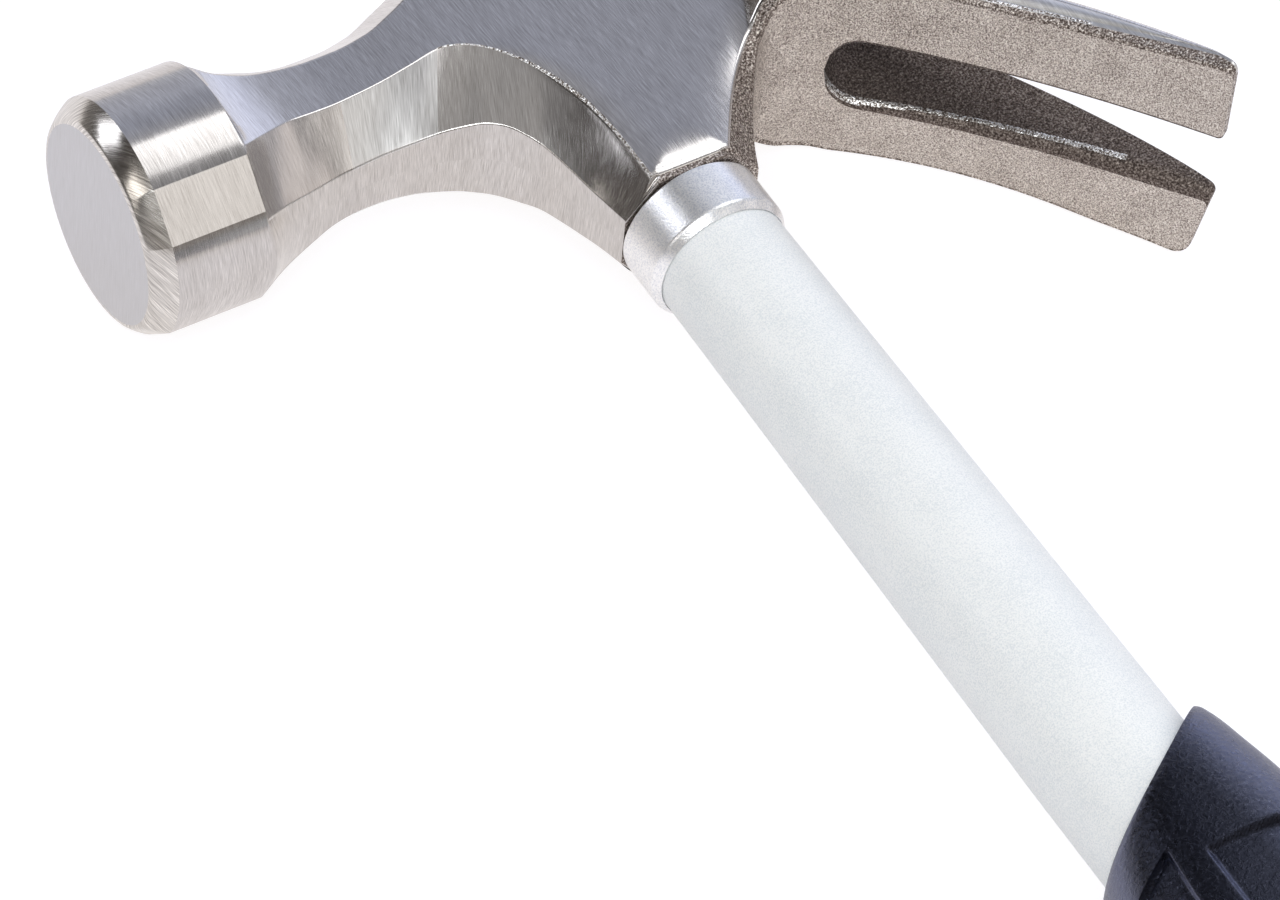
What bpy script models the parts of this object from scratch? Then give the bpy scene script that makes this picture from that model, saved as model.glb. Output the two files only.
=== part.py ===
"""Curved claw hammer: a forged head on a tapered steel tube, with a collar and a rubber grip.

The hammer lies on its side. X runs along the head, with the striking face at -X and the claw at
+X. Y runs along the handle, with the crown of the head at +Y. Z is up, across the head. The
origin is the middle of the hammer's footprint, on the surface that it lies on.

Every piece is modelled in the hammer's own frame, whose origin is on the handle's axis at the
lower rim of the head, in the plane of symmetry. One empty carries that frame.
"""

import math

import bmesh
import bpy
from mathutils import Vector

MM = 0.001

# Poll and striking face
FACE_REACH = 72.7 * MM
FACE_RADIUS = 15.2 * MM
FACE_BEVEL_LENGTH = 3.2 * MM
POLL_RADIUS = 17.3 * MM
POLL_LENGTH = 17.3 * MM
POLL_HEIGHT = 35.8 * MM

# Neck, between the poll and the cheeks
NECK_HALF = 10.4 * MM
NECK_WAIST_REACH = 34.0 * MM
NECK_END_REACH = 24.0 * MM
NECK_FLARE_POWER = 2.3

# Cheeks and socket
CHEEK_HALF = 11.0 * MM
CROWN_HEIGHT = 53.0 * MM
CROWN_HALF = 7.0 * MM
CROWN_HALF_LENGTH = 9.5 * MM
RIM_FRONT = 10.4 * MM
RIM_REAR = 11.0 * MM
RIM_FRONT_HALF = 4.2 * MM
RIM_REAR_HALF = 4.9 * MM
RIM_SIDE_HALF = 9.9 * MM
RIM_SIDE_LENGTH = 5.6 * MM
RIM_CHAMFER = 1.2 * MM
CHEEK_FRONT = 6.3 * MM
CHEEK_REAR_INSET = 4.6 * MM
THROAT_FACET_BULGE = 2.3 * MM
CHEEK_TOP_SHARE = 0.9
NECK_TOP_SHARE = 0.6
# Control points of the socket's curves: ahead of the rim or cheek, and below or above the poll's axis
THROAT_CONTROL = (2.1 * MM, 14.3 * MM)
CHEEK_CONTROL = (2.7 * MM, 2.2 * MM)
# Control points of the arch under the claw and of the back over it, from the curves' ends
ARCH_RISE = (3.5 * MM, 10.0 * MM)
ARCH_CREST = (12.2 * MM, 10.2 * MM)
BACK_RUN = 12.5 * MM
BACK_FALL = (9.1 * MM, 13.2 * MM)
ARCH_SPREAD_START = 0.4
ARCH_CHAMFER_POWER = 1.3

# Claw
CLAW_ROOT = (34.7 * MM, 15.8 * MM)
CLAW_TIP = (70.8 * MM, -25.4 * MM)
CLAW_SAG = 0.7 * MM
CLAW_ROOT_HALF = 17.7 * MM
CLAW_TIP_HALF = 19.6 * MM
CLAW_WAIST = 1.1 * MM
CLAW_ROOT_THICKNESS = 13.0 * MM
CLAW_TIP_THICKNESS = 3.0 * MM
CLAW_THINNING_POWER = 1.3
CLAW_EDGE_CHAMFER = 0.8 * MM
CLAW_ROOT_EDGE = 9.0 * MM
CLAW_TIP_EDGE = 2.4 * MM
CLAW_ROOT_TOP_HALF = 11.0 * MM
CLAW_TIP_TOP_HALF = 18.4 * MM
CLAW_CORNER = 3.0 * MM

# Share of each side of a ring that its rounded corners take
POLL_ROUNDING = 0.9
NECK_ROUNDING = 0.25
SOCKET_ROUNDING = 0.2
RIM_ROUNDING = 0.1

# Nail slot
SLOT_HALF = 6.2 * MM
SLOT_TIP_HALF = 5.8 * MM
SLOT_VEE_HALF = 0.4 * MM
SLOT_END_FROM_ROOT = 2.5 * MM

# Handle tube, measured down from the head's lower rim
TUBE_HEAD_RADIUS = 9.5 * MM
TUBE_GRIP_RADIUS = 10.7 * MM
TUBE_EYE_RADIUS = 8.2 * MM
TUBE_WALL = 1.6 * MM
TUBE_SWAGE_LENGTH = 3.0 * MM
TUBE_STRAIGHT_ABOVE_GRIP = 11.2 * MM
EYE_RECESS = 0.6 * MM

# Collar
COLLAR_RADIUS = 10.56 * MM
COLLAR_LENGTH = 9.05 * MM
COLLAR_SHOULDER = 1.5 * MM
COLLAR_SHOULDER_STEP = 0.8 * MM
COLLAR_SEAT_RADIUS = 8.8 * MM

# Plugs in the two ends of the tube
EYE_PLUG_LENGTH = 16.0 * MM
EYE_PLUG_TAPER = 0.4 * MM
EYE_PLUG_CROWN = 0.5 * MM
END_PLUG_LENGTH = 12.0 * MM
END_PLUG_FLANGE = 2.5 * MM

# Grip: its slanted upper edge is measured down from the rim, on the handle's axis
GRIP_EDGE = 115.2 * MM
GRIP_SLANT = math.radians(31.0)
GRIP_SLANT_FADE = 60.0 * MM
GRIP_LENGTH = 170.0 * MM
GRIP_SQUARENESS = 2.3
GRIP_END_ROUND = 5.0 * MM
GRIP_END_WALL = 6.1 * MM
# Share of the grip's length, and the rubber's thickness over the tube along X and along Z
GRIP_STATIONS = (
    (0.00, 1.7 * MM, 1.5 * MM),
    (0.01, 3.0 * MM, 2.3 * MM),
    (0.04, 4.4 * MM, 2.9 * MM),
    (0.12, 6.5 * MM, 3.7 * MM),
    (0.31, 4.5 * MM, 2.9 * MM),
    (0.54, 5.5 * MM, 3.5 * MM),
    (0.76, 4.9 * MM, 3.3 * MM),
    (0.91, 7.9 * MM, 6.1 * MM),
    (0.96, 8.1 * MM, 6.3 * MM),
)

CLEARANCE = 0.3 * MM

# Places that follow from the sizes above, measured down from the head's lower rim
GRIP_FLOOR = GRIP_EDGE + GRIP_LENGTH - GRIP_END_WALL
TUBE_END = GRIP_FLOOR - END_PLUG_FLANGE - 2.0 * CLEARANCE
TUBE_TAPER_END = GRIP_EDGE - TUBE_STRAIGHT_ABOVE_GRIP

CORNER_STEPS = 4
TURN_STEPS = 48
GRIP_SIDES = 40


def mix(start, end, share):
    """The value a share of the way from start to end."""
    return start + (end - start) * share


def ease(share):
    """A smooth step from 0 to 1, held outside that range."""
    share = min(max(share, 0.0), 1.0)
    return share * share * (3.0 - 2.0 * share)


def bezier(points, share):
    """A point on the Bezier curve of the given control points."""
    points = [Vector(point) for point in points]
    while len(points) > 1:
        points = [first.lerp(second, share) for first, second in zip(points, points[1:])]
    return points[0]


def collection(name):
    made = bpy.data.collections.new(name)
    bpy.context.scene.collection.children.link(made)
    return made


def material(name, colour, roughness, metallic):
    made = bpy.data.materials.new(name)
    made.use_nodes = True
    shader = made.node_tree.nodes["Principled BSDF"]
    shader.inputs["Base Color"].default_value = (*colour, 1.0)
    shader.inputs["Roughness"].default_value = roughness
    shader.inputs["Metallic"].default_value = metallic
    return made


def add_object(name, mesh, home, parent, finish=None):
    """An object in the hammer's frame, shaded smooth up to a crease of 30 degrees."""
    made = bpy.data.objects.new(name, mesh)
    home.objects.link(made)
    made.parent = parent
    mesh.shade_smooth()
    mesh.set_sharp_from_angle(angle=math.radians(30.0))
    if finish:
        mesh.materials.append(finish)
    return made


def loft(name, rings):
    """A closed body through rings of equally many points, with flat caps on its two ends."""
    body = bmesh.new()
    rows = [[body.verts.new(point) for point in ring] for ring in rings]
    for near, far in zip(rows, rows[1:]):
        for i in range(len(near)):
            j = (i + 1) % len(near)
            body.faces.new((near[i], near[j], far[j], far[i]))
    body.faces.new(rows[0])
    body.faces.new(rows[-1])
    bmesh.ops.recalc_face_normals(body, faces=body.faces)
    mesh = bpy.data.meshes.new(name)
    body.to_mesh(mesh)
    body.free()
    return mesh


def turned(name, profile, home, parent, finish, closed):
    """A body turned about the handle's axis from (radius, height above the rim) points."""
    count = len(profile)
    edges = [(i, i + 1) for i in range(count - 1)]
    if closed:
        edges.append((count - 1, 0))
    mesh = bpy.data.meshes.new(name)
    mesh.from_pydata([(radius, 0.0, height) for radius, height in profile], edges, [])
    made = add_object(name, mesh, home, parent, finish)
    made.rotation_euler = (-math.pi / 2, 0.0, 0.0)
    screw = made.modifiers.new("turn", "SCREW")
    screw.steps = TURN_STEPS
    screw.render_steps = TURN_STEPS
    screw.use_merge_vertices = True
    screw.merge_threshold = 0.00001
    screw.use_smooth_shade = True
    return made


def cut(piece, cutter, cutters):
    """Takes the cutter's shape out of the piece."""
    cutters.objects.link(cutter)
    cutter.hide_render = True
    cutter.display_type = "WIRE"
    boolean = piece.modifiers.new("cut " + cutter.name, "BOOLEAN")
    boolean.operation = "DIFFERENCE"
    boolean.solver = "EXACT"
    boolean.object = cutter


def section(bottom, low, high, top, bottom_half, side_half, top_half, rounding):
    """An eight-sided ring across the head, with rounded corners.

    bottom, low, high and top are (x, y) points of the head's side view: the lower outline, the
    side's lower and upper edge, and the upper outline. The halves are their distances from the
    plane of symmetry.
    """
    half_ring = (
        (*bottom, bottom_half),
        (*low, side_half),
        (*high, side_half),
        (*top, top_half),
    )
    corners = [Vector(point) for point in half_ring]
    corners += [Vector((point[0], point[1], -point[2])) for point in reversed(half_ring)]
    ring = []
    for i, corner in enumerate(corners):
        start = corner.lerp(corners[i - 1], rounding / 2)
        end = corner.lerp(corners[(i + 1) % len(corners)], rounding / 2)
        for step in range(CORNER_STEPS):
            ring.append(bezier((start, corner, end), step / (CORNER_STEPS - 1)))
    return ring


def octagon(x, half, rounding):
    """A regular eight-sided ring square to the poll's axis."""
    side = half * math.tan(math.pi / 8)
    heights = [POLL_HEIGHT + offset for offset in (-half, -side, side, half)]
    points = [(x, height) for height in heights]
    return section(*points, side, half, side, rounding)


def poll_rings():
    """The bevelled striking face and the round poll."""
    bevel_end = -FACE_REACH + FACE_BEVEL_LENGTH
    poll_end = -FACE_REACH + POLL_LENGTH
    return [
        octagon(-FACE_REACH, FACE_RADIUS, POLL_ROUNDING),
        octagon(bevel_end, POLL_RADIUS, POLL_ROUNDING),
        octagon(poll_end, POLL_RADIUS, POLL_ROUNDING),
    ]


def neck_rings():
    """The eight-sided neck: steep behind the poll, waisted, then swelling into the cheeks."""
    poll_end = -FACE_REACH + POLL_LENGTH
    waist = -NECK_WAIST_REACH
    steps = 6
    rings = []
    for i in range(1, steps + 1):
        share = i / steps
        half = mix(NECK_HALF, POLL_RADIUS, (1.0 - share) ** NECK_FLARE_POWER)
        rings.append(octagon(mix(poll_end, waist, share), half, NECK_ROUNDING))
    for share in (0.5, 1.0):
        half = mix(NECK_HALF, CHEEK_HALF, share * share)
        rings.append(octagon(mix(waist, -NECK_END_REACH, share), half, NECK_ROUNDING))
    return rings


def throat_rings():
    """The front of the socket, which sweeps down from the neck to the lower rim."""
    side = CHEEK_HALF * math.tan(math.pi / 8)
    neck_under = (-NECK_END_REACH, POLL_HEIGHT - CHEEK_HALF)
    neck_low = (-NECK_END_REACH, POLL_HEIGHT - side)
    under_control = (-RIM_FRONT - THROAT_CONTROL[0], POLL_HEIGHT - THROAT_CONTROL[1])
    under_curve = (neck_under, under_control, (-RIM_FRONT, 0.0))
    low_control = (-CHEEK_FRONT - CHEEK_CONTROL[0], POLL_HEIGHT + CHEEK_CONTROL[1])
    low_curve = (neck_low, low_control, (-CHEEK_FRONT, RIM_CHAMFER))
    steps = 6
    rings = []
    for i in range(1, steps + 1):
        share = i / steps
        low = bezier(low_curve, share)
        top = Vector((
            mix(-NECK_END_REACH, -CROWN_HALF_LENGTH, share),
            mix(POLL_HEIGHT + CHEEK_HALF, CROWN_HEIGHT, share),
        ))
        high = low.lerp(top, mix(NECK_TOP_SHARE, CHEEK_TOP_SHARE, share))
        facet = mix(side, RIM_FRONT_HALF, share) + THROAT_FACET_BULGE * 4.0 * share * (1.0 - share)
        top_half = mix(side, CROWN_HALF, share)
        bottom = bezier(under_curve, share)
        rings.append(section(bottom, low, high, top, facet, CHEEK_HALF, top_half, SOCKET_ROUNDING))
    return rings


def rim_rings():
    """The lower rim of the socket, where the tube enters, under the crown."""
    rings = []
    for side in (-1.0, 1.0):
        bottom = Vector((side * RIM_SIDE_LENGTH, 0.0))
        low = Vector((side * (RIM_SIDE_LENGTH - RIM_CHAMFER), RIM_CHAMFER))
        top = Vector((side * CROWN_HALF_LENGTH / 2, CROWN_HEIGHT))
        high = low.lerp(top, CHEEK_TOP_SHARE)
        halves = (RIM_SIDE_HALF, CHEEK_HALF, CROWN_HALF)
        rings.append(section(bottom, low, high, top, *halves, RIM_ROUNDING))
    return rings


def claw_under(share):
    """A point on the claw's underside, and the direction through the claw to its back."""
    root = Vector(CLAW_ROOT)
    chord = Vector(CLAW_TIP) - root
    across = Vector((-chord.y, chord.x)).normalized()
    point = root + chord * share + across * CLAW_SAG * 4.0 * share * (1.0 - share)
    along = chord + across * CLAW_SAG * 4.0 * (1.0 - 2.0 * share)
    return point, Vector((-along.y, along.x)).normalized()


def claw_thickness(share):
    return mix(CLAW_TIP_THICKNESS, CLAW_ROOT_THICKNESS, (1.0 - share) ** CLAW_THINNING_POWER)


def arch_rings():
    """The back of the socket, which arches over into the claw while the head grows wider."""
    root, through = claw_under(0.0)
    root_top = root + through * CLAW_ROOT_THICKNESS
    under_curve = (
        (RIM_REAR, 0.0),
        (RIM_REAR + ARCH_RISE[0], ARCH_RISE[1]),
        (root.x - ARCH_CREST[0], root.y + ARCH_CREST[1]),
        tuple(root),
    )
    top_curve = (
        (CROWN_HALF_LENGTH, CROWN_HEIGHT),
        (CROWN_HALF_LENGTH + BACK_RUN, CROWN_HEIGHT),
        (root_top.x - BACK_FALL[0], root_top.y + BACK_FALL[1]),
        tuple(root_top),
    )
    steps = 9
    nudge = 0.001
    rings = []
    for i in range(steps + 1):
        share = i / steps
        bottom = bezier(under_curve, share)
        along = bezier(under_curve, share + nudge) - bezier(under_curve, share - nudge)
        inward = Vector((-along.y, along.x)).normalized()
        low = bottom + inward * mix(CHEEK_REAR_INSET, CLAW_EDGE_CHAMFER, share)
        top = bezier(top_curve, share)
        edge_share = (CLAW_ROOT_EDGE - CLAW_EDGE_CHAMFER) / (CLAW_ROOT_THICKNESS - CLAW_EDGE_CHAMFER)
        high = low.lerp(top, mix(CHEEK_TOP_SHARE, edge_share, share))
        spread = ease((share - ARCH_SPREAD_START) / (1.0 - ARCH_SPREAD_START))
        side_half = mix(CHEEK_HALF, CLAW_ROOT_HALF, spread)
        rim_gap = (CHEEK_HALF - RIM_REAR_HALF) * (1.0 - share) ** ARCH_CHAMFER_POWER
        facet = side_half - rim_gap - CLAW_EDGE_CHAMFER * share
        top_half = mix(CROWN_HALF, CLAW_ROOT_TOP_HALF, share)
        rings.append(section(bottom, low, high, top, facet, side_half, top_half, SOCKET_ROUNDING))
    return rings


def claw_rings():
    """The curved claw, which thins towards its tip and has a bevelled back."""
    tip_length = (Vector(CLAW_TIP) - Vector(CLAW_ROOT)).length
    corner_share = 1.0 - CLAW_CORNER / tip_length
    shares = [corner_share * i / 8 for i in range(1, 9)] + [1.0]
    rings = []
    for share in shares:
        bottom, through = claw_under(share)
        thickness = claw_thickness(share)
        edge = mix(CLAW_TIP_EDGE, CLAW_ROOT_EDGE, (1.0 - share) ** 2.0)
        spread = min(share / corner_share, 1.0)
        side_half = mix(CLAW_ROOT_HALF, CLAW_TIP_HALF, spread) - CLAW_WAIST * 4.0 * spread * (1.0 - spread)
        if share == 1.0:
            side_half -= CLAW_CORNER / 2
        top_half = min(mix(CLAW_ROOT_TOP_HALF, CLAW_TIP_TOP_HALF, share), side_half - CLAW_EDGE_CHAMFER)
        rings.append(section(
            bottom,
            bottom + through * CLAW_EDGE_CHAMFER,
            bottom + through * edge,
            bottom + through * thickness,
            side_half - CLAW_EDGE_CHAMFER,
            side_half,
            top_half,
            NECK_ROUNDING,
        ))
    return rings


def slot_cutter(parent):
    """A wedge that is round at the root and narrows through the claw, from underside to back."""
    reach = 4.0 * MM
    chord = Vector(CLAW_TIP) - Vector(CLAW_ROOT)
    along = chord.normalized()
    root, root_through = claw_under(0.0)
    tip, tip_through = claw_under(1.0)
    centre = root + along * (SLOT_HALF - SLOT_END_FROM_ROOT)
    under = centre - root_through * reach
    back = centre + root_through * (CLAW_ROOT_THICKNESS + reach)
    under_half = SLOT_HALF + (SLOT_HALF - SLOT_VEE_HALF) * reach / (CLAW_ROOT_THICKNESS + reach)
    points = []
    sides = 24
    for i in range(sides):
        turn = 2.0 * math.pi * i / sides
        for place, radius in ((under, under_half), (back, SLOT_VEE_HALF)):
            flat = place + along * radius * math.cos(turn)
            points.append((*flat, radius * math.sin(turn)))
    past = along * reach
    for place in (tip - tip_through * reach, tip + tip_through * (CLAW_TIP_THICKNESS + reach)):
        for side in (-1.0, 1.0):
            points.append((*(place + past), side * SLOT_TIP_HALF))
    body = bmesh.new()
    for point in points:
        body.verts.new(point)
    hull = bmesh.ops.convex_hull(body, input=body.verts)
    bmesh.ops.delete(body, geom=hull["geom_interior"], context="VERTS")
    bmesh.ops.recalc_face_normals(body, faces=body.faces)
    mesh = bpy.data.meshes.new("nail_slot")
    body.to_mesh(mesh)
    body.free()
    made = bpy.data.objects.new("nail_slot", mesh)
    made.parent = parent
    return made


def rod_cutter(name, radius, low, high, parent):
    """A round cutter on the handle's axis, between two heights above the rim."""
    body = bmesh.new()
    bmesh.ops.create_cone(
        body, cap_ends=True, segments=TURN_STEPS, radius1=radius, radius2=radius, depth=high - low
    )
    mesh = bpy.data.meshes.new(name)
    body.to_mesh(mesh)
    body.free()
    made = bpy.data.objects.new(name, mesh)
    made.parent = parent
    made.location = (0.0, (low + high) / 2, 0.0)
    made.rotation_euler = (-math.pi / 2, 0.0, 0.0)
    return made


def make_head(home, cutters, parent):
    finish = material("ground forged steel", (0.52, 0.51, 0.50), 0.34, 1.0)
    rings = poll_rings() + neck_rings() + throat_rings() + rim_rings() + arch_rings() + claw_rings()
    head = add_object("hammer_head", loft("hammer_head", rings), home, parent, finish)
    past = 5.0 * MM
    bore = TUBE_EYE_RADIUS + CLEARANCE
    cut(head, rod_cutter("eye_bore", bore, -past, CROWN_HEIGHT + past, parent), cutters)
    cut(head, slot_cutter(parent), cutters)


def make_tube(home, parent):
    """The tube: swaged small for the eye and the collar's seat, then tapering out to the grip."""
    finish = material("silver metallic paint", (0.74, 0.74, 0.74), 0.38, 0.6)
    seat_end = -COLLAR_LENGTH - 2.0 * CLEARANCE
    outer = [
        (TUBE_EYE_RADIUS, CROWN_HEIGHT - EYE_RECESS),
        (TUBE_EYE_RADIUS, 0.0),
        (COLLAR_SEAT_RADIUS, -TUBE_SWAGE_LENGTH),
        (COLLAR_SEAT_RADIUS, seat_end),
        (TUBE_HEAD_RADIUS, seat_end - CLEARANCE),
        (TUBE_GRIP_RADIUS, -TUBE_TAPER_END),
        (TUBE_GRIP_RADIUS, -TUBE_END),
    ]
    inner = [(radius - TUBE_WALL, height) for radius, height in reversed(outer)]
    turned("shaft_tube", outer + inner, home, parent, finish, closed=True)


def make_collar(home, parent):
    """The sleeve under the head, rounded at its lower edge, whose bore follows the tube."""
    finish = material("silver painted steel", (0.70, 0.70, 0.70), 0.34, 0.7)
    bore = COLLAR_SEAT_RADIUS + CLEARANCE
    top = -CLEARANCE
    top_bore = mix(TUBE_EYE_RADIUS, COLLAR_SEAT_RADIUS, CLEARANCE / TUBE_SWAGE_LENGTH) + CLEARANCE
    bottom = top - COLLAR_LENGTH
    shoulder_steps = 3
    profile = [(COLLAR_RADIUS, top)]
    for i in range(shoulder_steps + 1):
        turn = math.pi / 2 * i / shoulder_steps
        radius = COLLAR_RADIUS - COLLAR_SHOULDER_STEP * (1.0 - math.cos(turn))
        profile.append((radius, bottom + COLLAR_SHOULDER * (1.0 - math.sin(turn))))
    profile += [(bore, bottom), (bore, -TUBE_SWAGE_LENGTH), (top_bore, top)]
    turned("shaft_collar", profile, home, parent, finish, closed=True)


def make_eye_plug(home, parent):
    """The tapered plug that spreads the tube in the eye, with a slightly domed top."""
    finish = material("plain steel", (0.45, 0.44, 0.43), 0.45, 1.0)
    radius = TUBE_EYE_RADIUS - TUBE_WALL - CLEARANCE
    top = CROWN_HEIGHT - EYE_RECESS
    profile = [
        (0.0, top + EYE_PLUG_CROWN),
        (radius / 2, top + EYE_PLUG_CROWN * 0.75),
        (radius, top),
        (radius - EYE_PLUG_TAPER, top - EYE_PLUG_LENGTH),
        (0.0, top - EYE_PLUG_LENGTH),
    ]
    turned("eye_plug", profile, home, parent, finish, closed=False)


def make_end_plug(home, parent):
    """The plug in the tube's lower end: a stem inside the tube and a flange over its edge."""
    finish = material("black moulded plastic", (0.03, 0.03, 0.03), 0.5, 0.0)
    stem = TUBE_GRIP_RADIUS - TUBE_WALL - CLEARANCE
    flange_top = -TUBE_END - CLEARANCE
    profile = [
        (0.0, -TUBE_END + END_PLUG_LENGTH),
        (stem, -TUBE_END + END_PLUG_LENGTH),
        (stem, flange_top),
        (TUBE_GRIP_RADIUS, flange_top),
        (TUBE_GRIP_RADIUS, flange_top - END_PLUG_FLANGE),
        (0.0, flange_top - END_PLUG_FLANGE),
    ]
    turned("tube_end_plug", profile, home, parent, finish, closed=False)


def grip_ring(below_edge, side_wall, top_wall):
    """A rounded, slightly square ring around the tube, which slants near the upper edge."""
    half_width = TUBE_GRIP_RADIUS + side_wall
    half_thickness = TUBE_GRIP_RADIUS + top_wall
    slope = math.tan(GRIP_SLANT) * max(0.0, 1.0 - below_edge / GRIP_SLANT_FADE)
    power = 2.0 / GRIP_SQUARENESS
    ring = []
    for i in range(GRIP_SIDES):
        turn = 2.0 * math.pi * i / GRIP_SIDES
        across = half_width * math.copysign(abs(math.cos(turn)) ** power, math.cos(turn))
        up = half_thickness * math.copysign(abs(math.sin(turn)) ** power, math.sin(turn))
        ring.append(Vector((across, -GRIP_EDGE - below_edge + slope * across, up)))
    return ring


def grip_rings():
    """Rings down the grip, eased between its stations, then rounded in at the end."""
    rings = []
    for start, end in zip(GRIP_STATIONS, GRIP_STATIONS[1:]):
        steps = 2 if end[0] < 0.1 else 4
        for i in range(steps):
            share = i / steps
            rings.append(grip_ring(
                GRIP_LENGTH * mix(start[0], end[0], share),
                mix(start[1], end[1], ease(share)),
                mix(start[2], end[2], ease(share)),
            ))
    side_wall, top_wall = GRIP_STATIONS[-1][1:]
    for turn in (0.0, math.radians(45.0), math.radians(90.0)):
        inset = GRIP_END_ROUND * (1.0 - math.cos(turn))
        below_edge = GRIP_LENGTH - GRIP_END_ROUND * (1.0 - math.sin(turn))
        rings.append(grip_ring(below_edge, side_wall - inset, top_wall - inset))
    return rings


def make_grip(home, cutters, parent):
    finish = material("black moulded rubber", (0.02, 0.022, 0.03), 0.6, 0.0)
    grip = add_object("grip_sleeve", loft("grip_sleeve", grip_rings()), home, parent, finish)
    bore = TUBE_GRIP_RADIUS + CLEARANCE
    past = 20.0 * MM
    cut(grip, rod_cutter("grip_bore", bore, -GRIP_FLOOR, -GRIP_EDGE + past, parent), cutters)


def main():
    for old in list(bpy.data.objects):
        bpy.data.objects.remove(old)
    home = collection("claw_hammer")
    cutters = collection("cutters")

    tip, tip_through = claw_under(1.0)
    tip_reach = (tip + tip_through * CLAW_TIP_THICKNESS).x
    hammer = bpy.data.objects.new("hammer_frame", None)
    home.objects.link(hammer)
    highest = max(CROWN_HEIGHT, POLL_HEIGHT + POLL_RADIUS)
    grip_half = TUBE_GRIP_RADIUS + max(station[2] for station in GRIP_STATIONS)
    hammer.location = (
        (FACE_REACH - tip_reach) / 2,
        (GRIP_EDGE + GRIP_LENGTH - highest) / 2,
        max(CLAW_TIP_HALF, POLL_RADIUS, grip_half),
    )

    make_head(home, cutters, hammer)
    make_tube(home, hammer)
    make_collar(home, hammer)
    make_eye_plug(home, hammer)
    make_end_plug(home, hammer)
    make_grip(home, cutters, hammer)


main()
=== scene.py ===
"""Looks of the curved claw hammer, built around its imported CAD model.

Every shape is worked out in the hammer's own frame, in millimetres: the origin is on the handle's
axis at the lower rim of the head, X runs towards the claw, Y towards the crown and Z across the
head. The frame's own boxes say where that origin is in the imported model.
"""

import math

import bmesh
import bpy
import numpy as np
from mathutils import Matrix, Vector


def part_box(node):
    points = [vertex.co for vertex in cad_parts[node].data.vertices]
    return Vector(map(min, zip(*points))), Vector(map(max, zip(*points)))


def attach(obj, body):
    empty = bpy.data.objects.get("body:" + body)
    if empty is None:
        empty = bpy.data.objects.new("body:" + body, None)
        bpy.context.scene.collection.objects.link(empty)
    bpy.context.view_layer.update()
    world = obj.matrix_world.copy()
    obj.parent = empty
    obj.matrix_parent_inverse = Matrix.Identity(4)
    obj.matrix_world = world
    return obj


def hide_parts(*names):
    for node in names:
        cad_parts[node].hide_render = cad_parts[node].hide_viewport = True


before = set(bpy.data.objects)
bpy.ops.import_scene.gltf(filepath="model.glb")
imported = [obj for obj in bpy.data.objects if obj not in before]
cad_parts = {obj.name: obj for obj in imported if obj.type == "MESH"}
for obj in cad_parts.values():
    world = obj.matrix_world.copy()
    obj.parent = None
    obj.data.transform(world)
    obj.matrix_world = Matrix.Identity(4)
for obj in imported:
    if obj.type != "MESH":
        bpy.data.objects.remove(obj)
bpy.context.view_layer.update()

MM = 0.001
COLLAR_GAP = 0.3

# Where the hammer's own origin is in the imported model, from the tube and the collar
tube_low, tube_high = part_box("shaft_tube")
_, collar_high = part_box("shaft_collar")
ORIGIN = np.array((
    (tube_low.x + tube_high.x) / 2,
    collar_high.y + COLLAR_GAP * MM,
    (tube_low.z + tube_high.z) / 2,
))

# Points nearer than this are welded, edges shorter than this go, and faces that meet at more
# degrees than this have a crease
WELD_DISTANCE = 2e-6
SLIVER_EDGE = 1e-7
CREASE = 28.0
HEAD_CREASE = 20.0
GRIP_CREASE = 50.0


def linear(hex_colour):
    """A colour written as sRGB hex, as linear red, green, blue and alpha."""
    shares = [int(hex_colour[i:i + 2], 16) / 255 for i in (0, 2, 4)]
    decoded = [s / 12.92 if s <= 0.04045 else ((s + 0.055) / 1.055) ** 2.4 for s in shares]
    return (*decoded, 1.0)


def add(tree, kind, inputs=None, stops=(), **settings):
    """Adds a node with its settings, its inputs and a colour ramp's (place, hex colour) stops.

    An input is a value, a socket that it comes from, or a node whose first output it comes from.
    """
    node = tree.nodes.new(kind)
    for name, value in settings.items():
        setattr(node, name, value)
    for i, (spot, colour) in enumerate(stops):
        elements = node.color_ramp.elements
        element = elements[i] if i < len(elements) else elements.new(1.0)
        element.position = spot
        element.color = linear(colour)
    for name, value in (inputs or {}).items():
        if isinstance(value, bpy.types.Node):
            value = value.outputs[0]
        if isinstance(value, bpy.types.NodeSocket):
            tree.links.new(value, node.inputs[name])
        else:
            node.inputs[name].default_value = value
    return node


def material(name, build, *values):
    """A material whose surface is what build makes in its node tree from the values."""
    made = bpy.data.materials.new(name)
    made.use_nodes = True
    tree = made.node_tree
    tree.nodes.clear()
    add(tree, "ShaderNodeOutputMaterial", {"Surface": build(tree, *values)})
    return made


def linked(name, data):
    """A new object of the scene."""
    made = bpy.data.objects.new(name, data)
    bpy.context.scene.collection.objects.link(made)
    return made


def ease(share):
    """A smooth step from 0 to 1, held outside that range."""
    share = np.clip(share, 0.0, 1.0)
    return share * share * (3.0 - 2.0 * share)


def hump(share):
    """A parabola that is 0 at both ends and 1 in the middle."""
    return 4.0 * share * (1.0 - share)


def mix(start, end, share):
    """The value a share of the way from start to end."""
    return start + (end - start) * share


def unit(vectors):
    """Vectors of length one, or nothing where there is no length."""
    length = np.linalg.norm(vectors, axis=-1, keepdims=True)
    return vectors / np.maximum(length, 1e-9)


def running(steps):
    """The running total of steps, from 0 on."""
    return np.concatenate(((0.0,), np.cumsum(steps)))


def crowded(start, end, points):
    """Places from start to end, crowded towards both by a cosine."""
    return mix(start, end, 0.5 - 0.5 * np.cos(np.linspace(0.0, math.pi, points)))


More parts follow.
